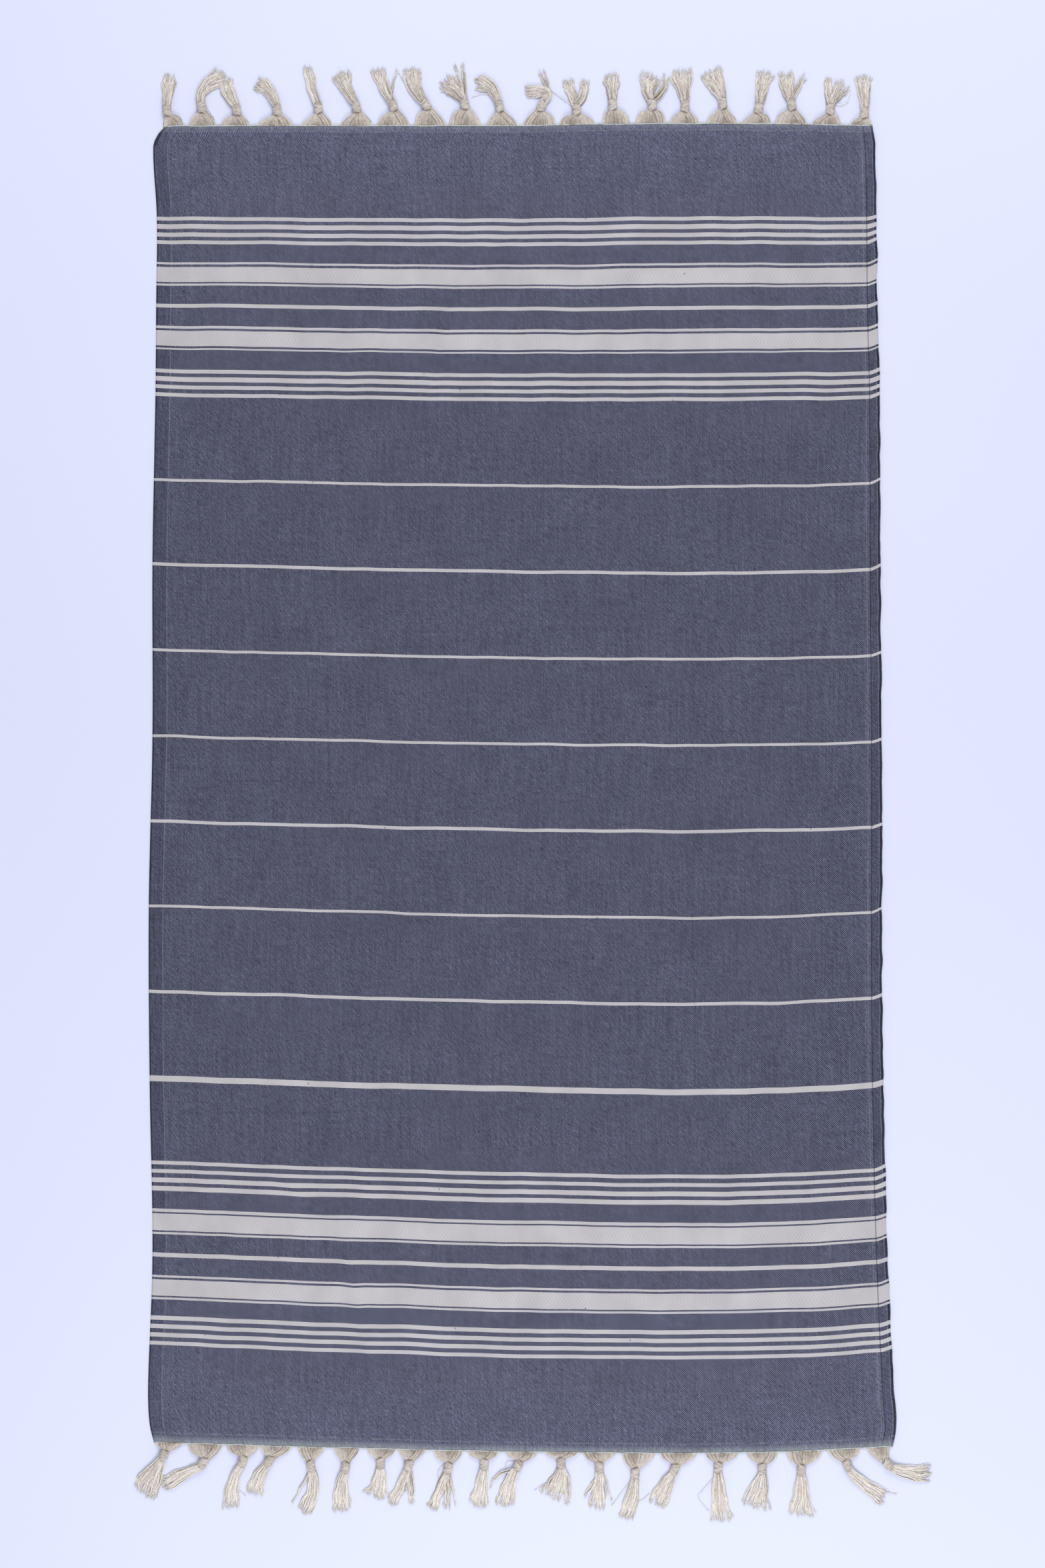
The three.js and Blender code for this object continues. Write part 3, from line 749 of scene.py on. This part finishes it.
def add_lock(yarns, root, lock, depth, random):
    """A spray of yarns that opens from the knot, follows its bend and ends in uneven, frayed tips."""
    count, bend, tip, spread = lock
    places = np.linspace(0, 1, 11)
    centre = bezier(root, bend, tip, places)
    ways = np.gradient(centre, axis=0)
    ways /= np.linalg.norm(ways, axis=1)[:, None]
    asides = np.column_stack([-ways[:, 1], ways[:, 0]])
    root_width = min(0.42 * KNOT_WIDTH, 0.25 * count)
    opened = np.clip(places / random.uniform(0.8, 1.05), 0, 1)
    half_width = root_width + (0.48 * spread - root_width) * opened
    half_width *= 1 + 0.07 * np.sin(2 * math.pi * (1.4 * places + random.uniform())) * places
    settle = (1 - places) ** 1.7
    # A large lock's core stands for the yarns under the spray, and its deep tone is painted shade in the
    # gaps between them
    if count > CORE_YARNS:
        inside = places < 0.82
        heights = 1.2 + 4.2 * settle
        spots = zip(centre[inside], asides[inside], half_width[inside], heights[inside])
        yarns.core([oval_ring(spot, -aside, 0.82 * half, high) for spot, aside, half, high in spots], 0.55)

    clumps = max(1, round(count / YARNS_IN_A_CLUMP))
    clump_wave = random.uniform(0, 1, clumps)
    clump_reach = random.uniform(-2.5, 2, clumps)
    clump_tone = random.uniform(-CLUMP_SHADE, CLUMP_SHADE, clumps)
    clump_crimp = random.uniform() + random.uniform(-0.12, 0.12, clumps)
    order = random.permutation(count)
    drift = np.clip(random.normal(0, 0.16, count), -0.3, 0.3)
    for k in range(count):
        share = (k + 0.5) / count
        clump = min(clumps - 1, int(share * clumps))
        middle = (clump + 0.5) / clumps
        layer = (order[k] % 3) / 2
        wisp = 1.5 * (middle - share) * places**3
        side = 2 * share - 1 + wisp + drift[k] * places * (1 - 0.5 * places)
        side = side + 0.13 * np.sin(2 * math.pi * (clump_wave[clump] + 0.9 * places)) * places
        wobble = CRIMP * np.sin(2 * math.pi * (clump_crimp[clump] + CRIMPS_IN_A_SPRAY * places))
        wobble = (wobble + random.uniform(-0.3, 0.3) * np.sin(9 * places)) * places**0.6
        reach = clump_reach[clump] + random.uniform(-8, -2) - 2 * (2 * share - 1) ** 2
        plan = centre + asides * (side * half_width + wobble)[:, None]
        plan = plan + ways * (reach * places**4)[:, None]
        radius = YARN_RADIUS * random.uniform(0.85, 1.15)
        rest_height = radius + 0.2 + 1.2 * layer
        heights = rest_height + (1.4 + 4.6 * layer - rest_height) * settle
        heights += 0.35 * np.sin(2 * math.pi * (1.7 * places + random.uniform())) * places * layer
        heights = np.maximum(heights, radius)
        # Lower layers get a deeper tone, and each yarn grows deeper towards the knot and lighter towards
        # its tip: painted shade within the spray
        tone = np.clip(depth + clump_tone[clump] - 0.45 * layer + random.uniform(*YARN_SHADE), 0, 1)
        tones = tone * (1 - 0.7 * places**2) + 0.25 * (1 - places) ** 2
        path = with_height(plan, heights)
        yarns.tube(path, radius * (1 - 0.25 * places**2), tones)
        add_frays(yarns, path[-1], unit(plan[-1] - plan[-2]), radius, tone * 0.15, random)


def make_tassel(name, end, row, seed, material):
    """One tassel: web, knot, spray, side locks and loose yarns, as one piece."""
    random = np.random.default_rng(seed)
    at, _, _, knot_offset, bend_offset, tip_offset, spread = row
    knot = end.place(at, knot_offset)
    bend = end.place(at, bend_offset)
    tip = end.place(at, tip_offset)
    heading = unit(unit(bend - knot) + unit(knot - end.at(at)))
    across = turned_left(heading)
    if across[0] < 0:
        across = -across
    yarns = Yarns()
    knot_start = knot - heading * KNOT_LENGTH * 0.44
    add_web(yarns, end, row, knot_start, across, random)
    add_knot(yarns, knot, heading, across, random)
    root = knot + heading * KNOT_LENGTH * 0.4
    side_locks = SIDE_LOCKS.get(name, [])
    left_over = SPRAY_YARNS - sum(lock[0] for lock in side_locks) // 2
    depth = SPRAY_TONE[end.outward]
    add_lock(yarns, root, (left_over, bend, tip, spread), depth, random)
    for count, lock_bend, lock_tip, width in side_locks:
        lock = (count, end.place(at, lock_bend), end.place(at, lock_tip), width)
        add_lock(yarns, root, lock, depth, random)
    for places in LOOSE_YARNS.get(name, []):
        plan = through([end.place(at, place) for place in places], 5)
        path = with_height(plan, np.linspace(2.4, YARN_RADIUS + 0.1, len(plan)))
        yarns.tube(path, YARN_RADIUS * 0.8, 0.15)
        add_frays(yarns, path[-1], unit(plan[-1] - plan[-2]), YARN_RADIUS, 0.2, random)
    made = yarns.finish("fringe_" + name, material)
    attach(made, "root")
    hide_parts("tassel_" + name)
    return made


def make_edge_thread(label, end, material):
    """The pale last pick that lies along the panel's end."""
    random = np.random.default_rng(7 if end.outward > 0 else 8)
    x = np.linspace(end.x[0] + 2, end.x[-1] - 3, EDGE_THREAD_POINTS)
    spots = np.array([end.at(v) for v in x])
    spots[:, 1] -= end.outward * EDGE_THREAD_INSET
    wander = np.convolve(random.normal(0, 1, EDGE_THREAD_POINTS + 8), np.ones(9) / 9, "valid")
    spots[:, 1] += end.outward * EDGE_THREAD_WANDER * wander
    heights = CLOTH_WALL + 0.45 + 0.3 * np.sin(x * 0.4)
    yarns = Yarns()
    yarns.tube(with_height(spots, heights), EDGE_THREAD_RADIUS, 0)
    made = yarns.finish(f"edge_thread_{label}", material)
    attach(made, "root")
    return made


class Graph:
    """A material's nodes, put together so that a formula reads as one."""

    def __init__(self, name):
        self.material = bpy.data.materials.new(name)
        self.material.use_nodes = True
        self.tree = self.material.node_tree
        self.shader = self.tree.nodes["Principled BSDF"]

    def connect(self, socket, value):
        if isinstance(value, bpy.types.NodeSocket):
            self.tree.links.new(value, socket)
        else:
            socket.default_value = value

    def math(self, operation, first, second=0.0, third=0.0):
        node = self.tree.nodes.new("ShaderNodeMath")
        node.operation = operation
        for socket, value in zip(node.inputs, (first, second, third)):
            self.connect(socket, value)
        return node.outputs[0]

    def times(self, first, second):
        return self.math("MULTIPLY", first, second)

    def minus(self, first, second):
        return self.math("SUBTRACT", first, second)

    def apart(self, first, second):
        return self.math("ABSOLUTE", self.minus(first, second))

    def below(self, value, limit):
        """1 where the value is under the limit."""
        return self.math("LESS_THAN", value, limit)

    def between(self, value, low, high, start=0.0, stop=1.0):
        """Value from low to high turned into start to stop, and held outside."""
        node = self.tree.nodes.new("ShaderNodeMapRange")
        for socket, number in zip(node.inputs, (value, low, high, start, stop)):
            self.connect(socket, number)
        return node.outputs[0]

    def mix(self, share, one, other):
        node = self.tree.nodes.new("ShaderNodeMix")
        node.data_type = "RGBA"
        self.connect(node.inputs[0], share)
        for socket, colour in ((node.inputs[6], one), (node.inputs[7], other)):
            self.connect(socket, colour if isinstance(colour, bpy.types.NodeSocket) else (*colour, 1))
        return node.outputs[2]

    def shade(self, colour, factor):
        """The colour made lighter or darker by a factor."""
        node = self.tree.nodes.new("ShaderNodeVectorMath")
        node.operation = "SCALE"
        self.connect(node.inputs[0], colour)
        self.connect(node.inputs[3], factor)
        return node.outputs[0]

    def attribute(self, name):
        node = self.tree.nodes.new("ShaderNodeAttribute")
        node.attribute_name = name
        return node

    def split(self, vector):
        node = self.tree.nodes.new("ShaderNodeSeparateXYZ")
        self.connect(node.inputs[0], vector)
        return node.outputs

    def vector(self, x, y):
        node = self.tree.nodes.new("ShaderNodeCombineXYZ")
        self.connect(node.inputs[0], x)
        self.connect(node.inputs[1], y)
        return node.outputs[0]

    def joined(self, operation, *values):
        """Several values joined by one operation, such as their product or the largest of them."""
        result = values[0]
        for value in values[1:]:
            result = self.math(operation, result, value)
        return result

    def within(self, value, middle, half_width):
        """1 where the value is near the middle. Both sizes are in millimetres."""
        return self.below(self.apart(value, middle * MM), half_width * MM)

    def noise(self, x, y, scale_x, scale_y, detail=2.0):
        """Noise whose grains are 1/scale wide each way, mostly inside NOISE_RANGE."""
        node = self.tree.nodes.new("ShaderNodeTexNoise")
        node.noise_dimensions = "2D"
        place = self.vector(self.times(x, scale_x), self.times(y, scale_y))
        self.connect(node.inputs["Vector"], place)
        node.inputs["Scale"].default_value = 1.0
        node.inputs["Detail"].default_value = detail
        return node.outputs[0]

    def uneven(self, x, y, scale_x, scale_y, low, high, detail=2.0):
        """The same noise, spread from low to high."""
        return self.between(self.noise(x, y, scale_x, scale_y, detail), *NOISE_RANGE, low, high)

    def ramp(self, value, low, high, bands):
        """1 inside each band of values and 0 outside."""
        node = self.tree.nodes.new("ShaderNodeValToRGB")
        node.color_ramp.interpolation = "CONSTANT"
        elements = node.color_ramp.elements
        elements[0].color = (0, 0, 0, 1)
        elements.remove(elements[1])
        for start, stop in bands:
            for edge, level in ((start, 1), (stop, 0)):
                element = elements.new((edge - low) / (high - low))
                element.color = (level, level, level, 1)
        self.connect(node.inputs[0], self.between(value, low, high))
        return node.outputs[0]

    def bump(self, height, distance, strength):
        node = self.tree.nodes.new("ShaderNodeBump")
        node.inputs["Strength"].default_value = strength
        node.inputs["Distance"].default_value = distance
        self.connect(node.inputs["Height"], height)
        self.connect(self.shader.inputs["Normal"], node.outputs[0])

    def place(self):
        """The point's place on the object, in metres."""
        return self.split(self.tree.nodes.new("ShaderNodeTexCoord").outputs["Object"])

    def finish(self, colour, **settings):
        """The material with its colour and its plain settings."""
        self.connect(self.shader.inputs["Base Color"], colour)
        for label, value in settings.items():
            self.shader.inputs[label.replace("_", " ")].default_value = value
        return self.material


class WeaveGraph(Graph):
    """The panel's material, which knows where each of its points lies in the weave."""

    def __init__(self, name):
        super().__init__(name)
        self.across, placed_along, _ = self.split(self.attribute("weave").outputs["Vector"])
        self.wobble = self.minus(self.noise(self.across, placed_along, *WOBBLE_GRAINS), 0.5)
        self.along = self.math("MULTIPLY_ADD", self.wobble, PICK_WOBBLE * MM, placed_along)
        warp = self.math("DIVIDE", self.across, WARP_PITCH * MM)
        pick = self.math("DIVIDE", self.along, PICK_PITCH * MM)
        self.warp_number = self.math("FLOOR", warp)
        self.pick_number = self.math("FLOOR", pick)
        self.warp_side = self.apart(self.math("FRACT", warp), 0.5)
        self.pick_side = self.apart(self.math("FRACT", pick), 0.5)
        self.pick_place = self.times(self.math("ADD", self.pick_number, 0.5), PICK_PITCH * MM)
        self.from_right = self.minus(CLOTH_WIDTH * MM, self.across)
        self.to_end = self.math("MINIMUM", self.along, self.minus(CLOTH_LENGTH * MM, self.along))
        self.in_lower_half = self.math("GREATER_THAN", self.along, CLOTH_LENGTH / 2 * MM)
        wider = (LOWER_HEADING - HEADING) * MM
        self.heading_width = self.math("MULTIPLY_ADD", self.in_lower_half, wider, HEADING * MM)
        self.in_heading = self.below(self.to_end, self.heading_width)
        self.in_pale_strip = self.below(self.from_right, RIGHT_PALE_STRIP * MM)
        in_left_selvedge = self.below(self.across, LEFT_SELVEDGE * MM)
        self.plain = self.joined("MAXIMUM", in_left_selvedge, self.in_pale_strip, self.in_heading)

    def look(self, *look):
        """Unevenness over the weave, as one of its looks says."""
        return self.uneven(self.across, self.along, *look)

    def threads(self, scale_x, scale_y):
        return self.noise(self.across, self.along, scale_x, scale_y)


def stripe_bands(stripes):
    return [((middle - width / 2) * MM, (middle + width / 2) * MM) for middle, width in stripes]


def chevron_turn(middle, width):
    return (middle + (CHEVRON_TURN - 0.5) * width) * MM


def twill_warps(g):
    """1 where a warp shows: each pick passes over three and under the fourth."""
    lower_parts = [(chevron_turn(*band), (band[0] + band[1] / 2) * MM) for band in WIDE_BANDS]
    turned_back = g.ramp(g.pick_place, 0, 2, lower_parts)
    way = g.math("MULTIPLY_ADD", turned_back, 2.0, -1.0)
    step = g.math("ADD", g.warp_number, g.times(g.pick_number, way))
    return g.below(g.math("FLOORED_MODULO", step, TWILL_REPEAT), 0.5)


def chevron_wave(g):
    """From -1 to 1 over the chevrons, which point to the right and turn inside each wide band; it paints
    the light and shade of their relief.
    """
    distances = [g.apart(g.along, chevron_turn(*band)) for band in WIDE_BANDS]
    place = g.math("MULTIPLY_ADD", g.joined("MINIMUM", *distances), TWILL_SLOPE, g.across)
    return g.math("SINE", g.times(place, 2 * math.pi / (CHEVRON_WARPS * WARP_PITCH * MM)))


def plain_weave_share(g):
    """How much of the pale warp shows in the plain weave of the selvedges and headings."""
    turned_edge = g.below(g.from_right, RIGHT_CREASE * MM)
    share = g.math("MULTIPLY_ADD", g.in_pale_strip, STRIP_SHARE - SELVEDGE_SHARE, SELVEDGE_SHARE)
    share = g.math("MULTIPLY_ADD", turned_edge, TURNED_EDGE_SHARE - STRIP_SHARE, share)
    heading_share = g.between(g.to_end, 0, LOWER_HEADING * MM, *HEADING_SHARES)
    share = g.math("MAXIMUM", share, g.times(g.in_heading, heading_share))
    share = g.math("ADD", share, g.look(*PLAIN_RIBS))
    yarn_sum = g.math("ADD", g.warp_number, g.pick_number)
    checker = g.below(g.math("FLOORED_MODULO", yarn_sum, 2.0), 0.5)
    return g.math("MULTIPLY_ADD", g.minus(checker, 0.5), CHECKER_SHARE, share)


def ground_factor(g, mottle):
    """Slubs, streaks and grain of the navy ground, and painted light that makes it lighter towards both
    ends.
    """
    leaning = g.math("MULTIPLY_ADD", g.along, -TWILL_SLOPE, g.across)
    from_middle = g.math("ABSOLUTE", g.math("MULTIPLY_ADD", g.along, 2 / (CLOTH_LENGTH * MM), -1.0))
    return g.joined(
        "MULTIPLY",
        g.look(*WARP_STREAKS),
        g.look(*WEFT_STREAKS),
        g.look(*GRAIN),
        g.uneven(leaning, g.along, *LEANING_STREAKS),
        # Painted light: the ground grows lighter towards both ends
        g.math("MULTIPLY_ADD", g.math("POWER", from_middle, PAINTED_END_LIGHT_POWER), PAINTED_END_LIGHT, 1.0),
        mottle,
    )


def light_lines(g):
    """The broken pale lines down both selvedges."""
    places = [g.within(g.across, LEFT_SELVEDGE + 0.6, 0.6)]
    places += [g.within(g.from_right, middle, 0.5) for middle in RIGHT_LIGHT_LINES]
    broken = g.between(g.threads(5, 900), 0.35, 0.6, 0.0, 0.55)
    return g.times(g.joined("MAXIMUM", *places), broken)


def specks(g):
    """Rare dark specks, a cell of the weave each."""
    column = g.math("FLOOR", g.math("DIVIDE", g.across, SPECK_WIDTH * MM))
    row = g.math("FLOOR", g.math("DIVIDE", g.along, SPECK_LENGTH * MM))
    node = g.tree.nodes.new("ShaderNodeTexWhiteNoise")
    node.noise_dimensions = "2D"
    g.connect(node.inputs["Vector"], g.vector(column, row))
    return g.times(g.math("GREATER_THAN", node.outputs[0], 1 - SPECK_CHANCE), SPECK_SHADE)


def crease_shade(g, x, y, start, stop, half_width, depth):
    """The painted shade of one pressed crease, which wavers a little and fades towards both ends."""
    length = math.dist(start, stop) * MM
    way_x = (stop[0] - start[0]) * MM / length
    way_y = (stop[1] - start[1]) * MM / length
    from_x = g.minus(x, start[0] * MM)
    from_y = g.minus(y, start[1] * MM)
    travelled = g.math("MULTIPLY_ADD", from_x, way_x, g.times(from_y, way_y))
    aside = g.math("MULTIPLY_ADD", from_x, way_y, g.times(from_y, -way_x))
    aside = g.math("ABSOLUTE", g.math("MULTIPLY_ADD", g.wobble, CREASE_WAVER * MM, aside))
    to_ends = g.math("MINIMUM", travelled, g.minus(length, travelled))
    fade = g.between(to_ends, 0.0, CREASE_FADE * MM, 0.0, depth)
    return g.times(g.between(aside, 0.0, half_width * MM, 1.0, 0.0), fade)


def painted_shade_and_specks(g, navy_pick):
    """How much darker the painted shade makes the rims, the turned corner and the creases, and how much
    darker the specks are.
    """
    left_rim = g.below(g.across, LEFT_RIM * MM)
    right_rim = g.below(g.from_right, RIGHT_RIM * MM)
    rims = g.joined("MULTIPLY", g.math("MAXIMUM", left_rim, right_rim), navy_pick, RIM_SHADE)
    right_crease = g.times(g.within(g.from_right, RIGHT_CREASE, 0.7), RIGHT_CREASE_SHADE)
    at_left = g.below(g.across, CORNER_STRIP * MM)
    at_top = g.below(g.along, TURNED_CORNER["depth"] * MM)
    corner = g.joined("MULTIPLY", at_left, at_top, CORNER_SHADE)
    x, y, _ = g.place()
    creases = [crease_shade(g, x, y, *crease) for crease in CREASE_SHADES]
    return g.joined("MAXIMUM", rims, right_crease, specks(g), *creases, corner)


def pale_end(g):
    """The heading's pale outer picks, and the short warp ticks where its plain weave ends."""
    upper, lower = END_SHARES
    end_share = g.math("MULTIPLY_ADD", g.in_lower_half, lower - upper, upper)
    teeth = g.between(g.threads(800, 30), 0.4, 0.6, 0.6, 1.4)
    first, last = OUTER_PICKS
    outer = g.joined("MULTIPLY", end_share, teeth, g.between(g.to_end, first * MM, last * MM, 1.0, 0.0))
    last_pick = g.times(g.below(g.to_end, LAST_PICK * MM), 0.5)
    from_inner_side = g.apart(g.to_end, g.heading_width)
    tick_row = g.below(from_inner_side, TICK_HALF_LENGTH * MM)
    tick_warps = g.below(g.math("FLOORED_MODULO", g.warp_number, TWILL_REPEAT), 1.5)
    tick_shade = g.between(g.threads(60, 5), 0.35, 0.65, 0.1, 0.45)
    return g.joined("MAXIMUM", outer, last_pick, g.joined("MULTIPLY", tick_row, tick_warps, tick_shade))


def cloth_material():
    """Cotton twill: navy weft over pale warp, cream weft stripes, plain selvedges and headings."""
    g = WeaveGraph("woven_cotton")
    stripe = g.joined("MAXIMUM", *(
        g.ramp(g.pick_place, start * MM, stop * MM, stripe_bands(stripes))
        for stripes, start, stop in STRIPE_GROUPS
    ))
    navy_pick = g.minus(1.0, stripe)
    mottle = g.look(*MOTTLE)

    warp_shows = twill_warps(g)
    twill = g.times(warp_shows, g.between(g.warp_side, 0.5, 0.3))
    plain_part = g.minus(plain_weave_share(g), twill)
    warp_share = g.math("MULTIPLY_ADD", g.plain, plain_part, twill)
    ground = g.shade(g.mix(warp_share, NAVY_YARN, PALE_WARP), ground_factor(g, mottle))

    wide_band = g.ramp(g.pick_place, 0, 2, stripe_bands(WIDE_BANDS))
    in_chevrons = g.times(wide_band, g.minus(1.0, g.plain))
    chevrons = g.times(chevron_wave(g), in_chevrons)
    # Painted light and shade of the chevrons' relief on the cream bands
    painted_chevron_shade = g.math("MULTIPLY_ADD", chevrons, CHEVRON_PAINTED_SHADE, 1.0)
    cream = g.shade(CREAM_WEFT, g.times(painted_chevron_shade, mottle))

    colour = g.mix(stripe, ground, cream)
    colour = g.mix(g.times(light_lines(g), navy_pick), colour, PALE_WARP)
    # Painted shade on the rims, the creases and the turned corner, and the dark specks
    colour = g.shade(colour, g.minus(1.0, painted_shade_and_specks(g, navy_pick)))
    colour = g.mix(pale_end(g), colour, PALE_HEADING)

    pick_round = g.times(g.pick_side, -0.7)
    height = g.minus(pick_round, g.times(warp_shows, 0.6))
    pucker = g.times(g.threads(110, 90), 1.6)
    g.bump(g.math("ADD", height, pucker), 0.00025, 0.6)
    return g.finish(colour, Roughness=0.9, Specular_IOR_Level=0.25, Sheen_Weight=0.12, Sheen_Roughness=0.5)


def fringe_material():
    """Loose cream cotton yarn: twisted, matt, and warmer and darker where its tone is deep, which is partly
    its own uneven tone and partly painted shade deep in the tassel.
    """
    g = Graph("fringe_yarn")
    tone = g.attribute("tone").outputs["Fac"]
    length, turn, _ = g.split(g.attribute("twist").outputs["Vector"])
    x, y, _ = g.place()
    blotch = g.uneven(x, y, 260, 260, -0.12, 0.12, 3.0)
    colour = g.mix(g.math("ADD", tone, blotch), CREAM_FRINGE, DEEP_FRINGE_AND_SHADE)
    wave_place = g.math("ADD", g.math("DIVIDE", length, YARN_TWIST * MM), turn)
    twist = g.math("SINE", g.times(wave_place, 2 * math.pi))
    colour = g.shade(colour, g.math("MULTIPLY_ADD", twist, 0.035, 1.0))
    fuzz = g.times(g.noise(x, y, 3200, 3200), 0.8)
    g.bump(g.math("ADD", twist, fuzz), 0.00012, 0.6)
    return g.finish(colour, Roughness=0.95, Specular_IOR_Level=0.2, Sheen_Weight=0.15, Sheen_Roughness=0.5)


def thread_material():
    """The pale thread of the last pick."""
    g = Graph("edge_thread")
    x, y, _ = g.place()
    return g.finish(g.shade(EDGE_THREAD, g.uneven(x, y, 300, 300, 0.75, 1.1)), Roughness=0.95)


def make_camera():
    data = bpy.data.cameras.new("camera")
    data.lens = LENS
    data.sensor_width = SENSOR
    camera = bpy.data.objects.new("camera", data)
    height = VIEW_LENGTH * MM * LENS / SENSOR
    camera.location = (VIEW_MIDDLE[0] * MM, VIEW_MIDDLE[1] * MM, height)
    bpy.context.scene.collection.objects.link(camera)
    bpy.context.scene.camera = camera


def make_floor():
    mesh = bpy.data.meshes.new("floor")
    signs = ((-1, -1), (1, -1), (1, 1), (-1, 1))
    corners = [(i * FLOOR_HALF * MM, j * FLOOR_HALF * MM, -FLOOR_GAP * MM) for i, j in signs]
    mesh.from_pydata(corners, [], [(0, 1, 2, 3)])
    g = Graph("pale_floor")
    x, y, _ = g.place()
    shade = g.uneven(x, y, 0.9, 0.9, 0.99, 1.01)
    mesh.materials.append(g.finish(g.shade(FLOOR_COLOUR, shade), Roughness=1.0, Specular_IOR_Level=0.0))
    floor = bpy.data.objects.new("floor", mesh)
    bpy.context.scene.collection.objects.link(floor)


def make_area_light(name, place, size, power):
    data = bpy.data.lights.new(name, "AREA")
    data.shape = "SQUARE"
    data.size = size
    data.energy = power
    light = bpy.data.objects.new(name, data)
    light.location = place
    light.rotation_euler = (-Vector(place)).to_track_quat("-Z", "Y").to_euler()
    bpy.context.scene.collection.objects.link(light)


def make_lights():
    world = bpy.data.worlds.new("studio")
    world.use_nodes = True
    background = world.node_tree.nodes["Background"]
    background.inputs["Color"].default_value = SKY_COLOUR
    background.inputs["Strength"].default_value = SKY_STRENGTH
    bpy.context.scene.world = world
    for light in SOFTBOXES:
        make_area_light(*light)
    bpy.context.scene.view_settings.view_transform = "Standard"


make_camera()
make_floor()
make_lights()

woven = cloth_material()
yarn = fringe_material()
thread = thread_material()

cloth = cloth_mesh(woven)
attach(cloth, "root")
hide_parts("cloth_body")

for label, rows, outward in (("top", TOP_TASSELS, 1), ("bottom", BOTTOM_TASSELS, -1)):
    panel_end = PanelEnd(outward)
    make_edge_thread(label, panel_end, thread)
    for i, row in enumerate(rows):
        name = f"{label}_{i + 1:02d}"
        make_tassel(name, panel_end, row, (outward + 2) * 100 + i, yarn)
